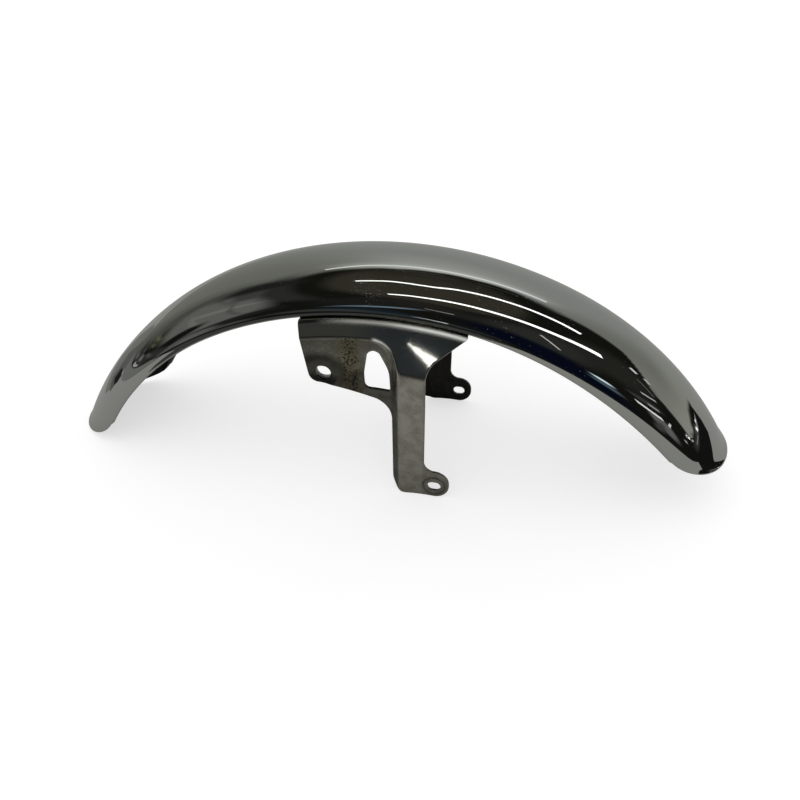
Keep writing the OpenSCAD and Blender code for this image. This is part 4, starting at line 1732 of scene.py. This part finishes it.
    def stand(self, name: str, points: Sequence, faces: Sequence,
              material: Material, only_reflected: bool = True) -> Object:
        """Sets up one mesh of the studio.

        Args:
            name: name of the object.
            points: vertices in metres.
            faces: vertex indices of each face.
            material: the mesh's material.
            only_reflected: whether it shows only in polished metal.

        Returns:
            The new object.
        """
        made = add_mesh(name, points, faces)
        made.data.materials.append(material)
        if only_reflected:
            for rays in ("camera", "diffuse", "shadow", "transmission", "volume_scatter"):
                setattr(made, f"visible_{rays}", False)
        return made

    def lay(self, name: str, corners: Sequence[tuple[float, float]], height: float,
            material: Material, only_reflected: bool = True) -> None:
        """Lays one flat sheet.

        Args:
            name: name of the object.
            corners: x and y of each corner in metres.
            height: height over the ground in metres.
            material: the sheet's material.
            only_reflected: whether it shows only in polished metal.
        """
        self.stand(name, [(x, y, height) for x, y in corners],
                   [tuple(range(len(corners)))], material, only_reflected)

    def floor(self) -> None:
        """Lays the pale floor, white to the eye, with the guard's soft shadow on it."""
        material, tree = start_material("pale_floor")
        diffuse, faint = (add_node(tree, "BsdfDiffuse", inputs={"Color": grey(level)})
                          for level in (self.floor_grey, self.floor_faint))
        lift = add_node(tree, "Emission", inputs={
            "Color": grey(1.0), "Strength": self.floor_lift})
        both = add_node(tree, "AddShader", inputs={0: faint.outputs[0],
                                                   1: lift.outputs[0]})
        mix = add_node(tree, "MixShader", inputs={0: self.seen(tree), 1: diffuse.outputs[0],
                                                  2: both.outputs[0]})
        show(tree, mix.outputs[0])
        self.lay("floor", square(self.floor_half), 0.0, material, only_reflected=False)

    def ground(self) -> None:
        """Lays what polished metal shows under the guard: dark ground, a board of grey
        paper and the cards. Each lies a little over the one below it."""
        self.lay("dark_ground", square(self.dome_r + 1), self.ground_z,
                 self.glow("dark_ground", (0.010, 0.010, 0.009)))
        paper, tree = start_material("grey_board")
        diffuse = add_node(tree, "BsdfDiffuse", inputs={"Color": linear("#a8a8a4")})
        show(tree, diffuse.outputs[0])
        self.lay("grey_board", self.board, self.board_z, paper)
        self.lay("shaded_board", self.shade, self.shade_z,
                 self.glow("shaded_board", (0.062, 0.062, 0.058)))
        for k, card in enumerate(self.cards):
            light = [card.level * share for share in self.card_tint]
            self.lay(card.name, card.corners, self.card_z + self.card_step * k,
                     self.glow(card.name, light))

    def glow(self, name: str, colour: Sequence[float],
             strength: float = 1.0) -> Material:
        """Makes an even light that isn't sampled as a lamp, so it shows in metal only.

        Args:
            name: name of the material.
            colour: linear red, green and blue.
            strength: its strength.

        Returns:
            The material.
        """
        material, tree = start_material(name)
        material.cycles.emission_sampling = "NONE"
        emission = add_node(tree, "Emission", inputs={
            "Color": (*tuple(colour)[:3], 1.0), "Strength": strength})
        show(tree, emission.outputs[0])
        return material

    def room_light(self, az: np.ndarray, el: np.ndarray) -> np.ndarray:
        """Light of the dome: a grey paper sweep behind and left, dark above and in front.

        Args:
            az: azimuths in degrees from -180 to 180.
            el: elevations in degrees.

        Returns:
            Linear red, green and blue for each direction.
        """
        light = np.array(self.dark) + np.zeros((*az.shape, 3))

        def cover(colour: Sequence[float] | np.ndarray, share: np.ndarray) -> None:
            """Covers a share of the light so far with another colour."""
            light[:] = light + (np.array(colour) - light) * share[..., None]

        # Brown ceiling, darker where it meets the wall behind
        cover(self.ceiling, fade(el, 58, 66) * (
            1 - 0.45 * fade(az, -60, -20) * fade(az, 75, 30) * fade(el, 78, 66)))
        # The wall's upper edge falls away to the left and right and is softer there
        top, soft, tube, things = (np.interp(az, *zip(*line)) for line in (
            self.wall_top, self.wall_soft, self.tube_line, self.things_top))
        share = ease((top - el) / soft + 0.5) * fade(az, -88, -72) * fade(az, 91.5, 88.5)
        level = (1 - 0.36 * fade(az, -12, -58) - 0.25 * fade(az, -58, -72)
                 - 0.30 * fade(az, 36, 62) * fade(el, 3, 18) + 0.14 * fade(az, 62, 84))
        # Glow of the tube on the wall
        level += 0.7 * bell(tube - el, 5.0) * fade(az, -52, -34) * fade(az, 47, 36)
        level += 0.35 * fade(el, 30, 56) * fade(az, -40, -5) * fade(az, 44, 14)
        warmth = (fade(az, -15, -50) + fade(az, 40, 60))[..., None]
        cover(np.array(self.wall) * (1 + np.array(self.wall_warmth) * warmth)
              * level[..., None], share)
        # Low things along the wall's foot on the right
        cover(self.dark, fade(az, 55, 59) * fade(el - things, 0.6, -0.5))
        for patch in self.patches:
            cover(patch.light, patch.mask(az, el))
        return light

    def dome(self) -> None:
        """Hangs the light dome that polished metal shows."""
        step = self.dome_step
        az, el = np.meshgrid(np.arange(-180, 180 + step / 2, step),
                             np.arange(-2, 90 + step / 2, step), indexing="ij")
        points = toward(az, np.minimum(el, 89.9)) * self.dome_r
        material = self.glow("dome_light", (1.0, 1.0, 1.0))
        tree = material.node_tree
        colour = add_node(tree, "Attribute", {"attribute_name": "light"})
        tree.links.new(colour.outputs["Color"], tree.nodes["Emission"].inputs["Color"])
        made = self.stand("light_dome", points.reshape(-1, 3).tolist(),
                          grid_faces(*az.shape), material)
        light = self.room_light(az, el).reshape(-1, 3)
        paint(made.data, "light", np.column_stack([light, np.ones(len(light))]))

    def hang(self, lamp: Lamp) -> None:
        """Hangs one lamp just inside the dome.

        Args:
            lamp: the lamp's directions, widths and strength.
        """
        nodes = toward(*np.array(lamp.directions, dtype=float).T)
        fine = np.linspace(0, len(nodes) - 1, 12 * len(nodes))
        line = np.stack([np.interp(fine, np.arange(len(nodes)), nodes[:, k])
                         for k in range(3)], axis=1)
        for _ in range(10):
            line[1:-1] = (line[:-2] + 2 * line[1:-1] + line[2:]) / 4
        line = unit(line)
        side = unit(np.cross(line, np.gradient(line, axis=0)))
        half = np.radians(np.linspace(*lamp.widths, len(line)))[:, None] / 2
        radius = self.dome_r - 1
        left, right = (line + side * half) * radius, (line - side * half) * radius
        n = len(line)
        self.stand(lamp.name, np.vstack([left, right]).tolist(),
                   [(k, k + 1, n + k + 1, n + k) for k in range(n - 1)],
                   self.glow(lamp.name, linear(lamp.colour), lamp.strength))

    def build(self, offset: np.ndarray) -> None:
        """Sets up the whole studio.

        Args:
            offset: step in mm from the axle's frame to the row's frame.
        """
        self.camera(offset)
        self.world()
        self.floor()
        self.ground()
        self.dome()
        for lamp in self.lamps:
            self.hang(lamp)


def main() -> None:
    """Builds the guard and the studio and reports each piece."""
    logging.basicConfig(level=logging.INFO, format="%(name)s: %(message)s")
    guard = GuardLines()
    blade = Blade(guard).build()
    LOG.info("blade: %d faces", len(blade.data.polygons))
    finish = TarnishedChrome()
    for side in Side:
        stay = Stay(StayLines(guard), side, finish).build()
        LOG.info("%s: %d faces", stay.name, len(stay.data.polygons))
    Studio().build(guard.offset)
    bpy.context.scene.view_settings.view_transform = "Standard"
    LOG.info("studio ready")
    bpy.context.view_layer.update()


if __name__ == "__main__":
    main()
